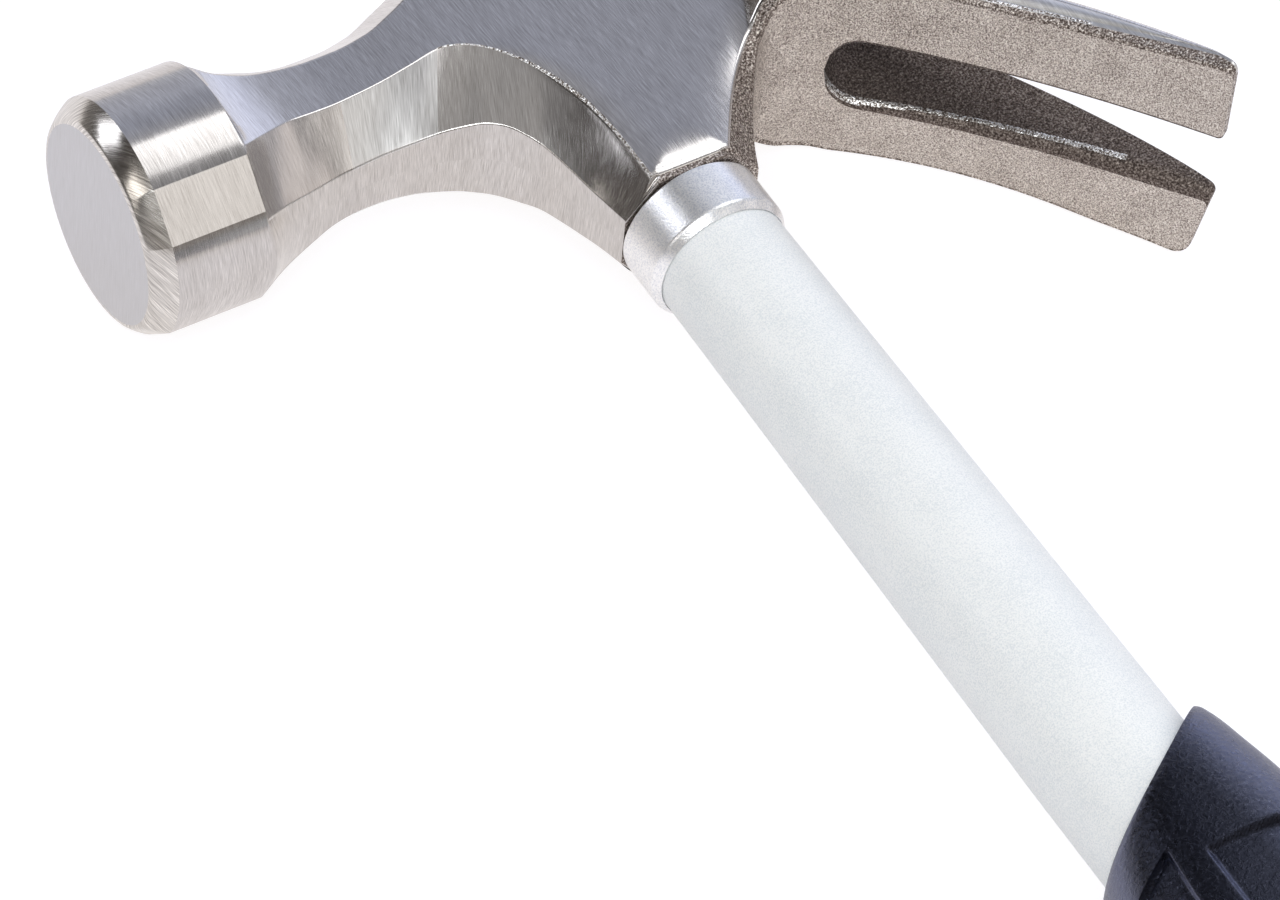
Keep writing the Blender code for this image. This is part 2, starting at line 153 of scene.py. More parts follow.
def smooth_through(places, keys, samples):
    """Curves through the keys that never overshoot them.

    Between two keys each column is a cubic. Its slope at a key is the harmonic mean of the slopes
    on either side, or nothing where those differ in sign, and at the ends it is the end slope.
    """
    places = np.asarray(places, float)
    keys = np.asarray(keys, float).reshape(len(places), -1)
    gap = np.diff(places)[:, None]
    slope = np.diff(keys, axis=0) / gap
    inner = slope[:-1] * slope[1:]
    total = np.where(inner > 0.0, slope[:-1] + slope[1:], 1.0)
    at_keys = np.vstack((slope[:1], np.where(inner > 0.0, 2.0 * inner / total, 0.0), slope[-1:]))
    i = np.clip(np.searchsorted(places, samples) - 1, 0, len(places) - 2)
    t = ((samples - places[i]) / np.diff(places)[i])[:, None]
    start_pull = t * (1.0 - t) ** 2 * gap[i] * at_keys[i]
    end_pull = t * t * (t - 1.0) * gap[i] * at_keys[i + 1]
    return mix(keys[i], keys[i + 1], t * t * (3.0 - 2.0 * t)) + start_pull + end_pull


def bezier(points, share):
    """A Bezier curve of control points at each share, or one such curve for each of many rings."""
    points = [np.asarray(p, float)[..., None, :] for p in points]
    share = np.asarray(share, float)[:, None]
    while len(points) > 1:
        points = [mix(a, b, share) for a, b in zip(points, points[1:])]
    return points[0]


def patch(points, uv, finish, other_uv=None):
    """A grid of points in millimetres, its own pattern coordinates in millimetres, and its finish.

    Where the pattern runs on across the plane of symmetry, other_uv is for the other side.
    """
    return {"points": points, "uv": uv, "finish": finish, "other_uv": other_uv}


def skin(name, patches, materials, crease=CREASE):
    """One mesh from grids: their edges are welded and all faces turned outwards."""
    points, quads, finishes, coords = [], [], [], []
    first = 0
    for part in patches:
        rows, columns = part["points"].shape[:2]
        index = np.arange(rows * columns).reshape(rows, columns)
        corner = np.stack((index[:-1, :-1], index[:-1, 1:], index[1:, 1:], index[1:, :-1]), axis=-1)
        corner = corner.reshape(-1, 4)
        quads.append(corner + first)
        coords.append(part["uv"].reshape(-1, 2)[corner].reshape(-1, 2))
        finish = np.broadcast_to(part["finish"], (rows - 1, columns - 1))
        finishes.append(finish.reshape(-1))
        points.append(part["points"].reshape(-1, 3))
        first += rows * columns
    mesh = bpy.data.meshes.new(name)
    placed = np.concatenate(points) * MM + ORIGIN
    mesh.from_pydata(placed.tolist(), [], np.concatenate(quads).tolist())
    mesh.polygons.foreach_set("material_index", np.concatenate(finishes).astype(np.int32))
    uv_map = mesh.uv_layers.new(name="surface_mm")
    uv_map.uv.foreach_set("vector", np.concatenate(coords).astype(np.float32).reshape(-1))
    body = bmesh.new()
    body.from_mesh(mesh)
    bmesh.ops.remove_doubles(body, verts=body.verts, dist=WELD_DISTANCE)
    bmesh.ops.dissolve_degenerate(body, edges=body.edges, dist=SLIVER_EDGE)
    bmesh.ops.recalc_face_normals(body, faces=body.faces)
    body.to_mesh(mesh)
    body.free()
    for finish in materials:
        mesh.materials.append(finish)
    mesh.shade_smooth()
    mesh.set_sharp_from_angle(angle=math.radians(crease))
    return linked(name, mesh)


def turned(profile, sides, finish):
    """A surface turned about the handle's axis.

    The profile is (radius, height) points; its pattern coordinates are the way round at the
    largest radius and the way along the profile.
    """
    profile = np.asarray(profile, float)
    angle = np.linspace(0.0, 2.0 * math.pi, sides + 1)
    radius = profile[:, :1]
    points = np.stack((
        radius * np.cos(angle),
        np.repeat(profile[:, 1:], sides + 1, axis=1),
        radius * np.sin(angle),
    ), axis=-1)
    along = running(np.hypot(*np.diff(profile, axis=0).T))
    uv = np.stack(np.meshgrid(angle * profile[:, 0].max(), along), axis=-1)
    return patch(points, uv, finish)


def place(piece, slot, *nodes):
    """A finished piece rides on the hammer and stands for its CAD nodes, which it hides. The slot is not
    used.
    """
    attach(piece, "root")
    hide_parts(*nodes)


# Head: finishes of its surfaces, in the order of its materials

# One finish is forging rubbed bright, whose white specks are a painted glint
GROUND, COARSE, BEVEL, FACE, BLASTED, FORGED, WORN_WITH_GLINT, SLOT = range(8)

# Poll and striking face
FACE_X = -72.7
FACE_RADIUS = 15.2
FACE_EDGE = 0.6
FACE_RING_SHARES = (0.0, 0.2, 0.45, 0.7, 0.88)
FACE_TURN_POINTS = 5
BEVEL_POINTS = 9
BEVEL_CROWN = 0.12
# Direction of the bevel's grinding lines, across and round the bevel
BEVEL_SLANT = (0.8, -0.6)
POLL_FRONT_X = -69.5
POLL_REAR_X = -55.2
POLL_Y = 35.8
POLL_RADIUS = 17.5
# Degrees from straight down between which a flat is ground on the round poll's lower side, to
# either side of the flat's edge that count as that edge, and between which the poll's side is seen
POLL_FLAT = (30.0, 57.0)
POLL_EDGE_TURN = 0.4
POLL_SIDE = (79.0, 101.0)
POLL_COSINE_LEAST = 0.5

# Crown and eye
CROWN_Y = 53.0
CROWN_HALF = 9.6
EYE_BORE_RADIUS = 8.5
EYE_CHAMFER = 0.5
EYE_SIDES = 96
CUT_BEYOND = 1.0

# Claw
CLAW_ROOT = np.array((34.2, 15.2))
CLAW_TIP = np.array((70.45, -25.95))
CLAW_LENGTH = np.hypot(*(CLAW_TIP - CLAW_ROOT))
CLAW_SAG = 2.0
CLAW_ROOT_HALF = 18.35
# Upper and lower prong: half-width at the tip, how much narrower than straight in the middle, and
# the most that it may be, which it nears smoothly
CLAW_TIP_HALF = (20.2, 22.5)
CLAW_WAIST = (1.75, 2.2)
CLAW_HALF_MOST = (20.6, 19.5)
CLAW_HALF_EASE = 0.5
CLAW_SIDE_BULGE = 0.4
CLAW_ROOT_THICKNESS = 13.0
CLAW_TIP_THICKNESS = 1.6
CLAW_THINNING_POWER = 0.8
CLAW_CHAMFER_SUM = 22.25
CLAW_CHAMFER_LEAST = 0.3
CLAW_EDGE_LIP = 0.35
# Upper and lower prong: the outer corner's radius, and how much shorter than the inner side the
# outer side is, from a share of the claw's length on
CLAW_CORNERS = (1.4, 3.2)
TIP_SLANT = (0.0, 1.8)
TIP_SLANT_START = 0.75
CLAW_INNER_CORNER = 0.9
# A rough band along the side: its width at the root and the tip, and the least side above it
ROUGH_BAND_ROOT = 0.6
ROUGH_BAND_TIP = 2.4
ROUGH_BAND_POWER = 1.4
SIDE_LEAST = 0.25

# Nail slot
SLOT_HALF = 6.25
# Upper and lower prong: the slot's half-width at the tip, on the underside and at the back
SLOT_TIP_HALF = (5.8, 4.8)
VEE_TIP_HALF = (5.7, 4.6)
SLOT_ROOT_BEFORE = 2.2
SLOT_ROOT_ROUND = 5.4
# Upper and lower prong: the rim's rounding at the root and at the tip
SLOT_RIM_ROUND = ((0.5, 0.5), (1.0, 2.5))
# The most of the wall's height that the rim's rounding takes, and of the half-width
SLOT_RIM_MOST = 0.6
SLOT_ROUND_SHARE = 0.45
SLOT_BACK_ROUND = 0.4
VEE_START_HALF = 2.2
VEE_BOW = 1.2

# The four lengthwise edges of one half, from poll to claw. Each row is one ring across the head: the
# underside edge (x, y, half), the side's lower edge (x, y, half), the side's upper edge (x, y, half)
# and the top edge (x, y, half)
NECK_EDGES = (
    (-55.0, 20.1, 7.6, -54.8, 27.5, 15.3, -55.0, 44.0, 15.3, -55.0, 51.3, 7.6),
    (-50.9, 21.9, 6.5, -50.4, 29.8, 13.2, -50.9, 42.4, 13.2, -50.9, 49.7, 6.5),
    (-45.5, 23.6, 5.4, -45.2, 31.6, 11.6, -45.5, 41.3, 11.6, -45.5, 48.0, 5.4),
    (-41.4, 24.7, 4.8, -40.4, 32.0, 10.9, -40.7, 41.0, 10.9, -40.7, 46.8, 4.7),
    (-38.9, 25.1, 4.7, -37.2, 32.3, 10.6, -38.0, 41.0, 10.6, -38.0, 46.4, 4.7),
    (-34.0, 25.4, 4.9, -31.0, 33.0, 10.5, -33.0, 41.1, 10.5, -33.0, 46.3, 4.8),
    (-29.5, 25.1, 5.3, -25.2, 33.9, 10.7, -28.0, 41.7, 10.7, -28.0, 47.0, 5.0),
    (-25.7, 24.5, 6.0, -20.3, 34.7, 10.9, -23.0, 43.5, 10.9, -23.0, 48.9, 5.4),
    (-22.2, 23.5, 6.6, -17.0, 33.8, 11.0, -18.6, 45.6, 11.0, -18.8, 50.5, 6.0),
    (-19.6, 22.3, 7.1, -14.8, 32.3, 11.0, -15.4, 47.2, 11.0, -15.8, 51.5, 6.8),
    (-17.5, 20.6, 7.2, -13.0, 30.5, 11.0, -12.9, 48.7, 11.0, -13.5, 52.2, 7.8),
    (-15.7, 18.1, 6.9, -11.2, 28.0, 11.0, -11.0, 50.0, 11.0, -11.8, 52.6, 8.7),
    (-14.2, 15.3, 6.3, -9.6, 25.2, 11.0, -9.5, 50.8, 11.0, -10.4, 52.9, 9.3),
    (-13.1, 11.6, 5.7, -8.1, 21.5, 11.0, -8.1, 51.3, 11.0, -9.4, 53.0, 9.6),
    (-12.2, 7.9, 5.1, -6.7, 16.5, 11.0, -6.8, 51.6, 11.0, -8.5, 53.0, 9.6),
    (-11.3, 4.2, 4.6, -5.9, 9.4, 11.0, -5.9, 51.6, 11.0, -7.8, 53.0, 9.6),
    (-10.4, 0.0, 4.2, -5.8, 1.2, 11.0, -5.4, 51.6, 11.0, -7.2, 53.0, 9.6),
)
# The coarse pass of the belt on the neck's facet runs from one of those rows to another
COARSE_PASS_ROWS = (4, 7)
RIM_EDGES = (
    NECK_EDGES[-1],
    (-5.6, 0.0, 9.9, -4.6, 1.2, 11.0, -4.2, 51.6, 11.0, -5.2, 53.0, 9.6),
    (5.6, 0.0, 9.9, 4.6, 1.2, 11.0, 4.2, 51.6, 11.0, 5.6, 53.0, 9.6),
    (11.0, 0.0, 4.9, 6.2, 1.2, 11.0, 6.2, 51.6, 11.0, 8.6, 53.0, 9.6),
)
# The same for the underside and the side's lower edge of the arch under the claw, which joins the
# claw's own edges from a share of its length on
ARCH_EDGES = (
    RIM_EDGES[-1][:6],
    (12.2, 3.0, 5.5, 8.1, 4.1, 11.0),
    (14.5, 7.4, 6.4, 11.4, 8.9, 11.0),
    (17.5, 12.2, 8.2, 15.5, 13.9, 11.1),
    (21.0, 16.6, 11.0, 19.6, 18.0, 11.8),
    (23.7, 17.9, 14.0, 23.5, 20.4, 14.4),
    (27.6, 18.0, 16.6, 28.0, 19.6, 17.0),
    (31.0, 17.2, 17.4, 31.4, 18.4, 17.8),
    (34.2, 15.2, 17.9, 34.6, 15.6, 18.3),
)
ARCH_JOIN_START = 0.7
ARCH_BACK = ((8.6, CROWN_Y), (22.0, CROWN_Y), (35.2, 37.7))
ARCH_HIGH_START = 0.973
RING_STEP_LEAST = 0.05

# How far the cheek rolls off towards its lower edge: row, depth and width
NECK_ROLL = ((7, 0.0, 1.0), (8, 0.02, 1.2), (10, 0.1, 1.8), (13, 0.36, 3.8), (16, 0.66, 6.4))
ARCH_ROLL = ((0, 0.7, 6.2), (2, 0.78, 6.2), (4, 0.62, 5.2), (6, 0.1, 2.4), (7, 0.0, 1.0))

# How far the facet under the cheek stands out, and the underside and the top in the middle: row of
# the neck and height there. The neck's side starts as round as the poll's. The underside also stands
# out along the claw: that height is full at its root and falls by a power of the share of the claw's
# length, to nothing at its tip
THROAT_BULGE = ((0, 0.0), (7, 0.0), (9, 0.1), (11, 0.24), (14, 0.46), (16, 0.56))
NECK_CROWN = ((0, 1.8), (1, 0.9), (2, 0.3), (3, 0.0), (16, 0.0))
NECK_START_BULGE = 1.75
NECK_START_LENGTH = 1.2
CLAW_CROWN = 1.6
CLAW_CROWN_START = 0.5
CLAW_CROWN_POWER = 2.75

# How far each edge's rounding reaches to either side, in millimetres: before and after the
# underside edge, the side's lower edge, its upper edge and the top edge
NECK_ROUND = (0.3, 0.3, 0.15, 0.2, 0.4, 0.4, 0.4, 0.4)
NECK_END_ROUND = (0.35, 0.35, 0.25, 0.4, 0.8, 0.6, 0.5, 0.5)
THROAT_ROUND = (0.35, 0.35, 0.9, 1.0, 0.9, 0.7, 0.7, 0.7)
RIM_ROUND = (0.25, 0.25, 0.35, 0.8, 0.9, 0.7, 0.7, 0.7)
ARCH_ROUND = (1.3, 0.3, 0.4, 0.8, 0.9, 0.7, 0.7, 0.7)
CLAW_ROUND = (0.5, 0.25, 0.25, 0.5, 0.6, 0.6, 0.6, 0.6)
# Those of the neck and of the arch by share of the rings, and the most of a flat that they take
NECK_ROUNDS = (
    (0.0, NECK_ROUND), (0.42, NECK_ROUND), (0.6, NECK_END_ROUND), (0.8, THROAT_ROUND), (1.0, THROAT_ROUND),
)
ARCH_ROUNDS = ((0.0, ARCH_ROUND), (0.6, ARCH_ROUND), (1.0, CLAW_ROUND))
ROUND_MOST = 0.94

# Points along each flat and round each edge of half a ring, and how they crowd to a flat's start
FLAT_POINTS = (10, 10, 40, 8, 8)
FLAT_CROWDING = (1.0, 1.0, 1.7, 1.0, 1.0)
EDGE_POINTS = 9
RIM_TURN_POINTS = 8
BACK_TURN_POINTS = 5
PRONG_END_POINTS = 5
# Rubbed bright, with white specks brighter than steel that are a painted glint: columns of the side's
# lower edge, and the share of the claw up to which it is so; first column of the slot's rim at its root and
# from a share of its length on, and the last share
WORN_GLINT_EDGE = slice(2, 8)
WORN_GLINT_EDGE_END = 0.55
GLINT_ROOT_COLUMN = 2
GLINT_COLUMN = 6
GLINT_NARROW = 0.3
GLINT_END = 0.77
# The pattern's shift on the lower half, so that it doesn't repeat the upper half's
OTHER_HALF_SHIFT = (0.0, 137.0)

# Rings of each stretch
POLL_RINGS = 14
NECK_RINGS = 120
RIM_RINGS = (6, 10, 6)
ARCH_RINGS = 60
CLAW_RINGS = 90
TIP_RINGS = 12


def ring_places(edges):
    """How far along the head each row is, by the underside and the side's lower edge together."""
    steps = np.diff(np.asarray(edges, float)[:, :6], axis=0)
    length = (np.hypot(steps[:, 0], steps[:, 1]) + np.hypot(steps[:, 3], steps[:, 4])) / 2
    return running(np.maximum(length, RING_STEP_LEAST))


def stretch(edges, rings):
    """Equally spaced rings on smooth curves through a stretch's rows."""
    places = ring_places(edges)
    return smooth_through(places, edges, np.linspace(0.0, places[-1], rings))


def along_rows(edges, keys, rings):
    """Values that change smoothly along a stretch, from keys of a row and its values."""
    keys = np.asarray(keys, float)
    places = ring_places(edges)
    key_places = places[keys[:, 0].astype(int)]
    samples = np.linspace(0.0, places[-1], rings)
    return smooth_through(key_places, keys[:, 1:], np.clip(samples, key_places[0], key_places[-1]))


def claw_under(share):
    """The claw's underside: a chord with a slight sag, and the direction through to its back."""
    chord = CLAW_TIP - CLAW_ROOT
    across = np.array((-chord[1], chord[0])) / CLAW_LENGTH
    share = share[:, None]
    points = CLAW_ROOT + chord * share + across * CLAW_SAG * hump(share)
    along = chord + across * CLAW_SAG * 4.0 * (1.0 - 2.0 * share)
    return points, unit(np.stack((-along[:, 1], along[:, 0]), axis=-1))


def corner_cut(distance, radius):
    """How much a corner of that radius takes off a width, at each distance from the end."""
    left = np.clip(radius - distance, 0.0, radius)
    return radius - np.sqrt(radius * radius - left * left)


def claw_edges(share, prong=0):
    """The claw's four lengthwise edges, with the tip's outer corner rounded.

    The claw thins by a power of the distance to its tip. Its back is chamfered so that half-width
    and thickness add up to one sum, and a rough band along its side widens towards the tip.
    """
    under, through = claw_under(share)
    half = mix(CLAW_ROOT_HALF, CLAW_TIP_HALF[prong], share) - CLAW_WAIST[prong] * hump(share)
    most = CLAW_HALF_MOST[prong]
    half = (half + most - np.hypot(half - most, CLAW_HALF_EASE)) / 2
    half = half - corner_cut((1.0 - share) * CLAW_LENGTH, CLAW_CORNERS[prong])
    thick = mix(CLAW_TIP_THICKNESS, CLAW_ROOT_THICKNESS, (1.0 - share) ** CLAW_THINNING_POWER)
    high = np.minimum(CLAW_CHAMFER_SUM - half, thick - CLAW_CHAMFER_LEAST)
    band = mix(ROUGH_BAND_ROOT, ROUGH_BAND_TIP, share ** ROUGH_BAND_POWER)
    band = np.minimum(band, high - SIDE_LEAST)
    top_half = np.minimum(CLAW_CHAMFER_SUM - thick, half - CLAW_CHAMFER_LEAST)
    low_point, high_point, top_point = (under + through * up[:, None] for up in (band, high, thick))
    columns = (under, half - CLAW_EDGE_LIP, low_point, half, high_point, half, top_point, top_half)
    return np.column_stack(columns)


def arch_edges(rings):
    """The arch's four lengthwise edges, from the rim's rear to the root of the claw."""
    rows = stretch(ARCH_EDGES, rings)
    share = np.linspace(0.0, 1.0, rings)
    root = claw_edges(np.zeros(1))[0]
    joined = ease((share - ARCH_JOIN_START) / (1.0 - ARCH_JOIN_START))
    rows = rows + np.outer(joined, root[:6] - rows[-1])
    top = bezier((*ARCH_BACK, root[9:11]), share)
    top_half = mix(CROWN_HALF, root[11], share)
    root_share = np.hypot(*(root[6:8] - root[3:5])) / np.hypot(*(root[9:11] - root[3:5]))
    high_share = mix(ARCH_HIGH_START, root_share, ease(share))[:, None]
    high = mix(rows[:, 3:5], top, high_share)
    return np.column_stack((rows, high, rows[:, 5], top, top_half))


def half_rings(corners, rounds, bulges):
    """Half rings over six corners, with flats between them and rounded edges.

    A flat is the straight line between two edges' roundings, raised by its bulge in the middle.
    A rounding is the quadratic curve that is tangent to the flats on either side. Gives the points
    and where each flat starts and ends.
    """
    spans = []
    reach = []
    for i in range(5):
        length = np.linalg.norm(corners[i + 1] - corners[i], axis=-1)
        before = rounds[:, 2 * i - 1] if i > 0 else np.zeros(len(length))
        after = rounds[:, 2 * i] if i < 4 else np.zeros(len(length))
        most = np.minimum(1.0, ROUND_MOST * length / np.maximum(before + after, 1e-6))[:, None]
        reach.append((before[:, None] * most, after[:, None] * most))
    columns = []
    for i in range(5):
        way = unit(corners[i + 1] - corners[i])
        start = corners[i] + way * reach[i][0]
        end = corners[i + 1] - way * reach[i][1]
        t = np.linspace(0.0, 1.0, FLAT_POINTS[i]) ** FLAT_CROWDING[i]
        outward = np.stack((np.zeros(len(way)), -way[:, 2], way[:, 1]), axis=-1)
        raised = bulges[:, i, None] * hump(t)
        first = sum(c.shape[1] for c in columns)
        columns.append(bezier((start, end), t) + outward[:, None] * raised[..., None])
        spans.append((first, first + FLAT_POINTS[i] - 1))
        if i < 4:
            next_start = corners[i + 1] + unit(corners[i + 2] - corners[i + 1]) * reach[i + 1][0]
            t = np.linspace(0.0, 1.0, EDGE_POINTS + 2)[1:-1]
            columns.append(bezier((end, corners[i + 1], next_start), t))
    return np.concatenate(columns, axis=1), spans


def poll_rings():
    """The poll as half rings: a round bar with a flat ground on its lower side.

    At each angle from straight down the radius is the bar's, or the flat's where that is less: the
    flat's distance over the cosine of the angle to its direction. The ring's spans and edges take
    turns along the angle, from straight down to straight up.
    """
    low, high = POLL_FLAT
    edge = POLL_EDGE_TURN
    direction = (low + high) / 2
    starts = (0.0, low + edge, POLL_SIDE[0], 180.0 - high, 180.0 - low + edge)
    stops = (low - edge, high, POLL_SIDE[1], 180.0 - low - edge, 180.0)
    angles = []
    for i in range(5):
        angles.append(crowded(starts[i], stops[i], FLAT_POINTS[i]))
        if i < 4:
            angles.append(crowded(stops[i], starts[i + 1], EDGE_POINTS + 2)[1:-1])
    angle = np.concatenate(angles)
    distance = POLL_RADIUS * math.cos(math.radians(high - direction))
    cosine = np.maximum(np.cos(np.radians(angle - direction)), POLL_COSINE_LEAST)
    radius = np.minimum(POLL_RADIUS, distance / cosine)
    turn = np.radians(angle)
    x = crowded(POLL_FRONT_X, POLL_REAR_X, POLL_RINGS)[:, None]
    y = POLL_Y - radius * np.cos(turn)
    return np.stack(np.broadcast_arrays(x, y, radius * np.sin(turn)), axis=-1)


def crown_out(points, half, height, outward):
    """Points of the underside or the top, moved outwards.

    They move by the height times one less the square of their share of the half-width.
    """
    share = points[..., 2] / half[:, None]
    moved = height[:, None] * (1.0 - np.clip(share, 0.0, 1.0) ** 2)
    return points + outward[:, None] * moved[..., None]


def face_rings(ring):
    """The striking face and its bevel, from the face's middle out to the poll's front ring.

    Each point of the ring moves along its own ray from the poll's axis to the face's circle. The
    bevel is slightly crowned.
    """
    middle = np.array((FACE_X, POLL_Y, 0.0))
    around = unit(ring - np.array((POLL_FRONT_X, POLL_Y, 0.0)))
    edge = around * FACE_RADIUS
    shares = np.array((*FACE_RING_SHARES, 1.0 - FACE_EDGE / FACE_RADIUS))
    flat = middle + shares[:, None, None] * edge
    end = middle + edge + unit(ring - (middle + edge)) * FACE_EDGE
    t = np.linspace(0.0, 1.0, FACE_TURN_POINTS)[1:]
    turn = bezier((flat[-1], middle + edge, end), t).swapaxes(0, 1)
    t = np.linspace(0.0, 1.0, BEVEL_POINTS)[1:]
    outward = unit(around - np.array((1.0, 0.0, 0.0)))
    crown = outward * BEVEL_CROWN * hump(t)[:, None, None]
    return flat, turn, bezier((end, ring), t).swapaxes(0, 1) + crown


def side_distance(points, edge, values):
    """How far points of the side view are from an edge's line, and the edge's values there."""
    start = edge[:-1]
    way = edge[1:] - start
    gap = points[:, :, None, :] - start
    square = np.maximum((way * way).sum(axis=-1), 1e-9)
    t = np.clip((gap * way).sum(axis=-1) / square, 0.0, 1.0)
    distance = np.linalg.norm(gap - t[..., None] * way, axis=-1)
    nearest = distance.argmin(axis=-1)
    t = np.take_along_axis(t, nearest[..., None], axis=-1)
    distance = np.take_along_axis(distance, nearest[..., None], axis=-1)[..., 0]
    return distance, mix(values[nearest], values[nearest + 1], t)


def roll_cheek(rings, spans, low_edge, roll):
    """Rolls the cheek off towards its lower edge.

    The drop is the depth times the square of the share of the width that is left, so it starts
    without a crease. The facet below the edge drops evenly from its own lower edge.
    """
    facet_start, facet_end = spans[1]
    start, end = spans[2]
    distance, near = side_distance(rings[:, start:end + 1, :2], low_edge, roll)
    drop = near[..., 0] * np.clip(1.0 - distance / near[..., 1], 0.0, 1.0) ** 2
    facet = np.linspace(0.0, 1.0, facet_end - facet_start + 1)[:-1]
    turn = np.linspace(0.0, 1.0, start - facet_end + 1)[:-1]
    rings[:, facet_start:facet_end, 2] -= roll[:, :1] * facet
    rings[:, facet_end:start, 2] -= mix(roll[:, :1], drop[:, :1], turn)
    rings[:, start:end + 1, 2] -= drop


def wall_rings(outer_start, outer_end, under, back, rim, back_round, count):
    """The nail slot's wall, from the rounding of its rim on the underside to that at the back."""
    way = unit(back - under)
    deepest = SLOT_RIM_MOST * np.linalg.norm(back - under, axis=-1)
    rim_end = under + way * np.minimum(rim, deepest)[:, None]
    back_start = back - way * back_round[:, None]
    straight = count - RIM_TURN_POINTS - BACK_TURN_POINTS
    return np.concatenate((
        bezier((outer_start, under, rim_end), np.linspace(0.0, 1.0, RIM_TURN_POINTS + 1)[:-1]),
        bezier((rim_end, back_start), np.linspace(0.0, 1.0, straight)),
        bezier((back_start, back, outer_end), np.linspace(0.0, 1.0, BACK_TURN_POINTS + 1)[1:]),
    ), axis=1)


def head_stretches(prong):
    """The edges of each stretch's rings, and how far along the claw its rings are."""
    quarter = np.linspace(0.0, 0.5 * math.pi, TIP_RINGS)
    tip_places = CLAW_LENGTH - CLAW_CORNERS[prong] * (1.0 - np.sin(quarter))
    claw_places = np.concatenate((np.linspace(0.0, tip_places[0], CLAW_RINGS)[1:-1], tip_places))
    rim = [stretch(RIM_EDGES[i:i + 2], rings)[:-1] for i, rings in enumerate(RIM_RINGS)]
    edges = (
        stretch(NECK_EDGES, NECK_RINGS),
        np.concatenate(rim),
        arch_edges(ARCH_RINGS),
        claw_edges(claw_places / CLAW_LENGTH, prong),
    )
    return edges, claw_places


def head_roundings(counts):
    """How far the roundings of every ring's edges reach."""
    neck, arch = (
        smooth_through(*zip(*keys), np.linspace(0.0, 1.0, count))
        for keys, count in ((NECK_ROUNDS, counts[0]), (ARCH_ROUNDS, counts[2]))
    )
    return np.concatenate((
        neck, np.tile(RIM_ROUND, (counts[1], 1)), arch, np.tile(CLAW_ROUND, (counts[3], 1)),
    ))


def head_rolls(counts):
    """Depth and width of the cheek's roll at every ring: none on the claw."""
    rim_share = np.linspace(0.0, 1.0, counts[1])[:, None]
    return np.concatenate((
        along_rows(NECK_EDGES, NECK_ROLL, counts[0]),
        mix(np.array(NECK_ROLL[-1][1:]), np.array(ARCH_ROLL[0][1:]), rim_share),
        along_rows(ARCH_EDGES, ARCH_ROLL, counts[2]),
        np.tile(ARCH_ROLL[-1][1:], (counts[3], 1)),
    ))


def head_crowns(counts, claw_share):
    """How far the underside and the top stand out at every ring."""
    neck = along_rows(NECK_EDGES, NECK_CROWN, counts[0])[:, 0]
    arch_share = np.linspace(0.0, 1.0, counts[2])
    arch = CLAW_CROWN * ease((arch_share - CLAW_CROWN_START) / (1.0 - CLAW_CROWN_START))
    claw = CLAW_CROWN * (1.0 - claw_share ** CLAW_CROWN_POWER)
    under = np.concatenate((neck, np.zeros(counts[1]), arch, claw))
    return under, np.concatenate((neck, np.zeros(sum(counts[1:]))))


def slot_widths(prong, arch, claw_places, rings_before):
    """The slot's half-width on the underside and at the back at every ring, and the way from its root.

    The root is a quarter of an ellipse, the sides run straight and the prongs' inner corners are
    rounded.
    """
    arch_places = -running(np.hypot(*np.diff(arch[::-1, :2], axis=0).T))[::-1]
    claw_way = np.concatenate((np.full(rings_before, -np.inf), arch_places, claw_places))
    from_root = np.maximum(claw_way + SLOT_ROOT_BEFORE, 0.0)
    share = np.clip(from_root / (CLAW_LENGTH + SLOT_ROOT_BEFORE), 0.0, 1.0)
    opening = np.sqrt(1.0 - (1.0 - np.clip(from_root / SLOT_ROOT_ROUND, 0.0, 1.0)) ** 2)
    inner_cut = corner_cut(np.maximum(CLAW_LENGTH - claw_way, 0.0), CLAW_INNER_CORNER)
    cut = inner_cut * (from_root > 0.0)
    slot_half = mix(SLOT_HALF, SLOT_TIP_HALF[prong], share) * opening + cut
    vee = mix(VEE_START_HALF, VEE_TIP_HALF[prong], share) + VEE_BOW * hump(share)
    return slot_half, vee * opening + cut, from_root


def way_across(rings):
    """How far each point of a ring is from the ring's first point, along the ring."""
    step = np.linalg.norm(np.diff(rings, axis=1), axis=-1)
    return np.concatenate((np.zeros((len(rings), 1)), np.cumsum(step, axis=1)), axis=1)


def outward_of(points):
    """Unit vectors square to a line of the side view, to the right of the way along it."""
    way = np.gradient(points, axis=0)
    return unit(np.column_stack((way[:, 1], -way[:, 0], np.zeros(len(way)))))


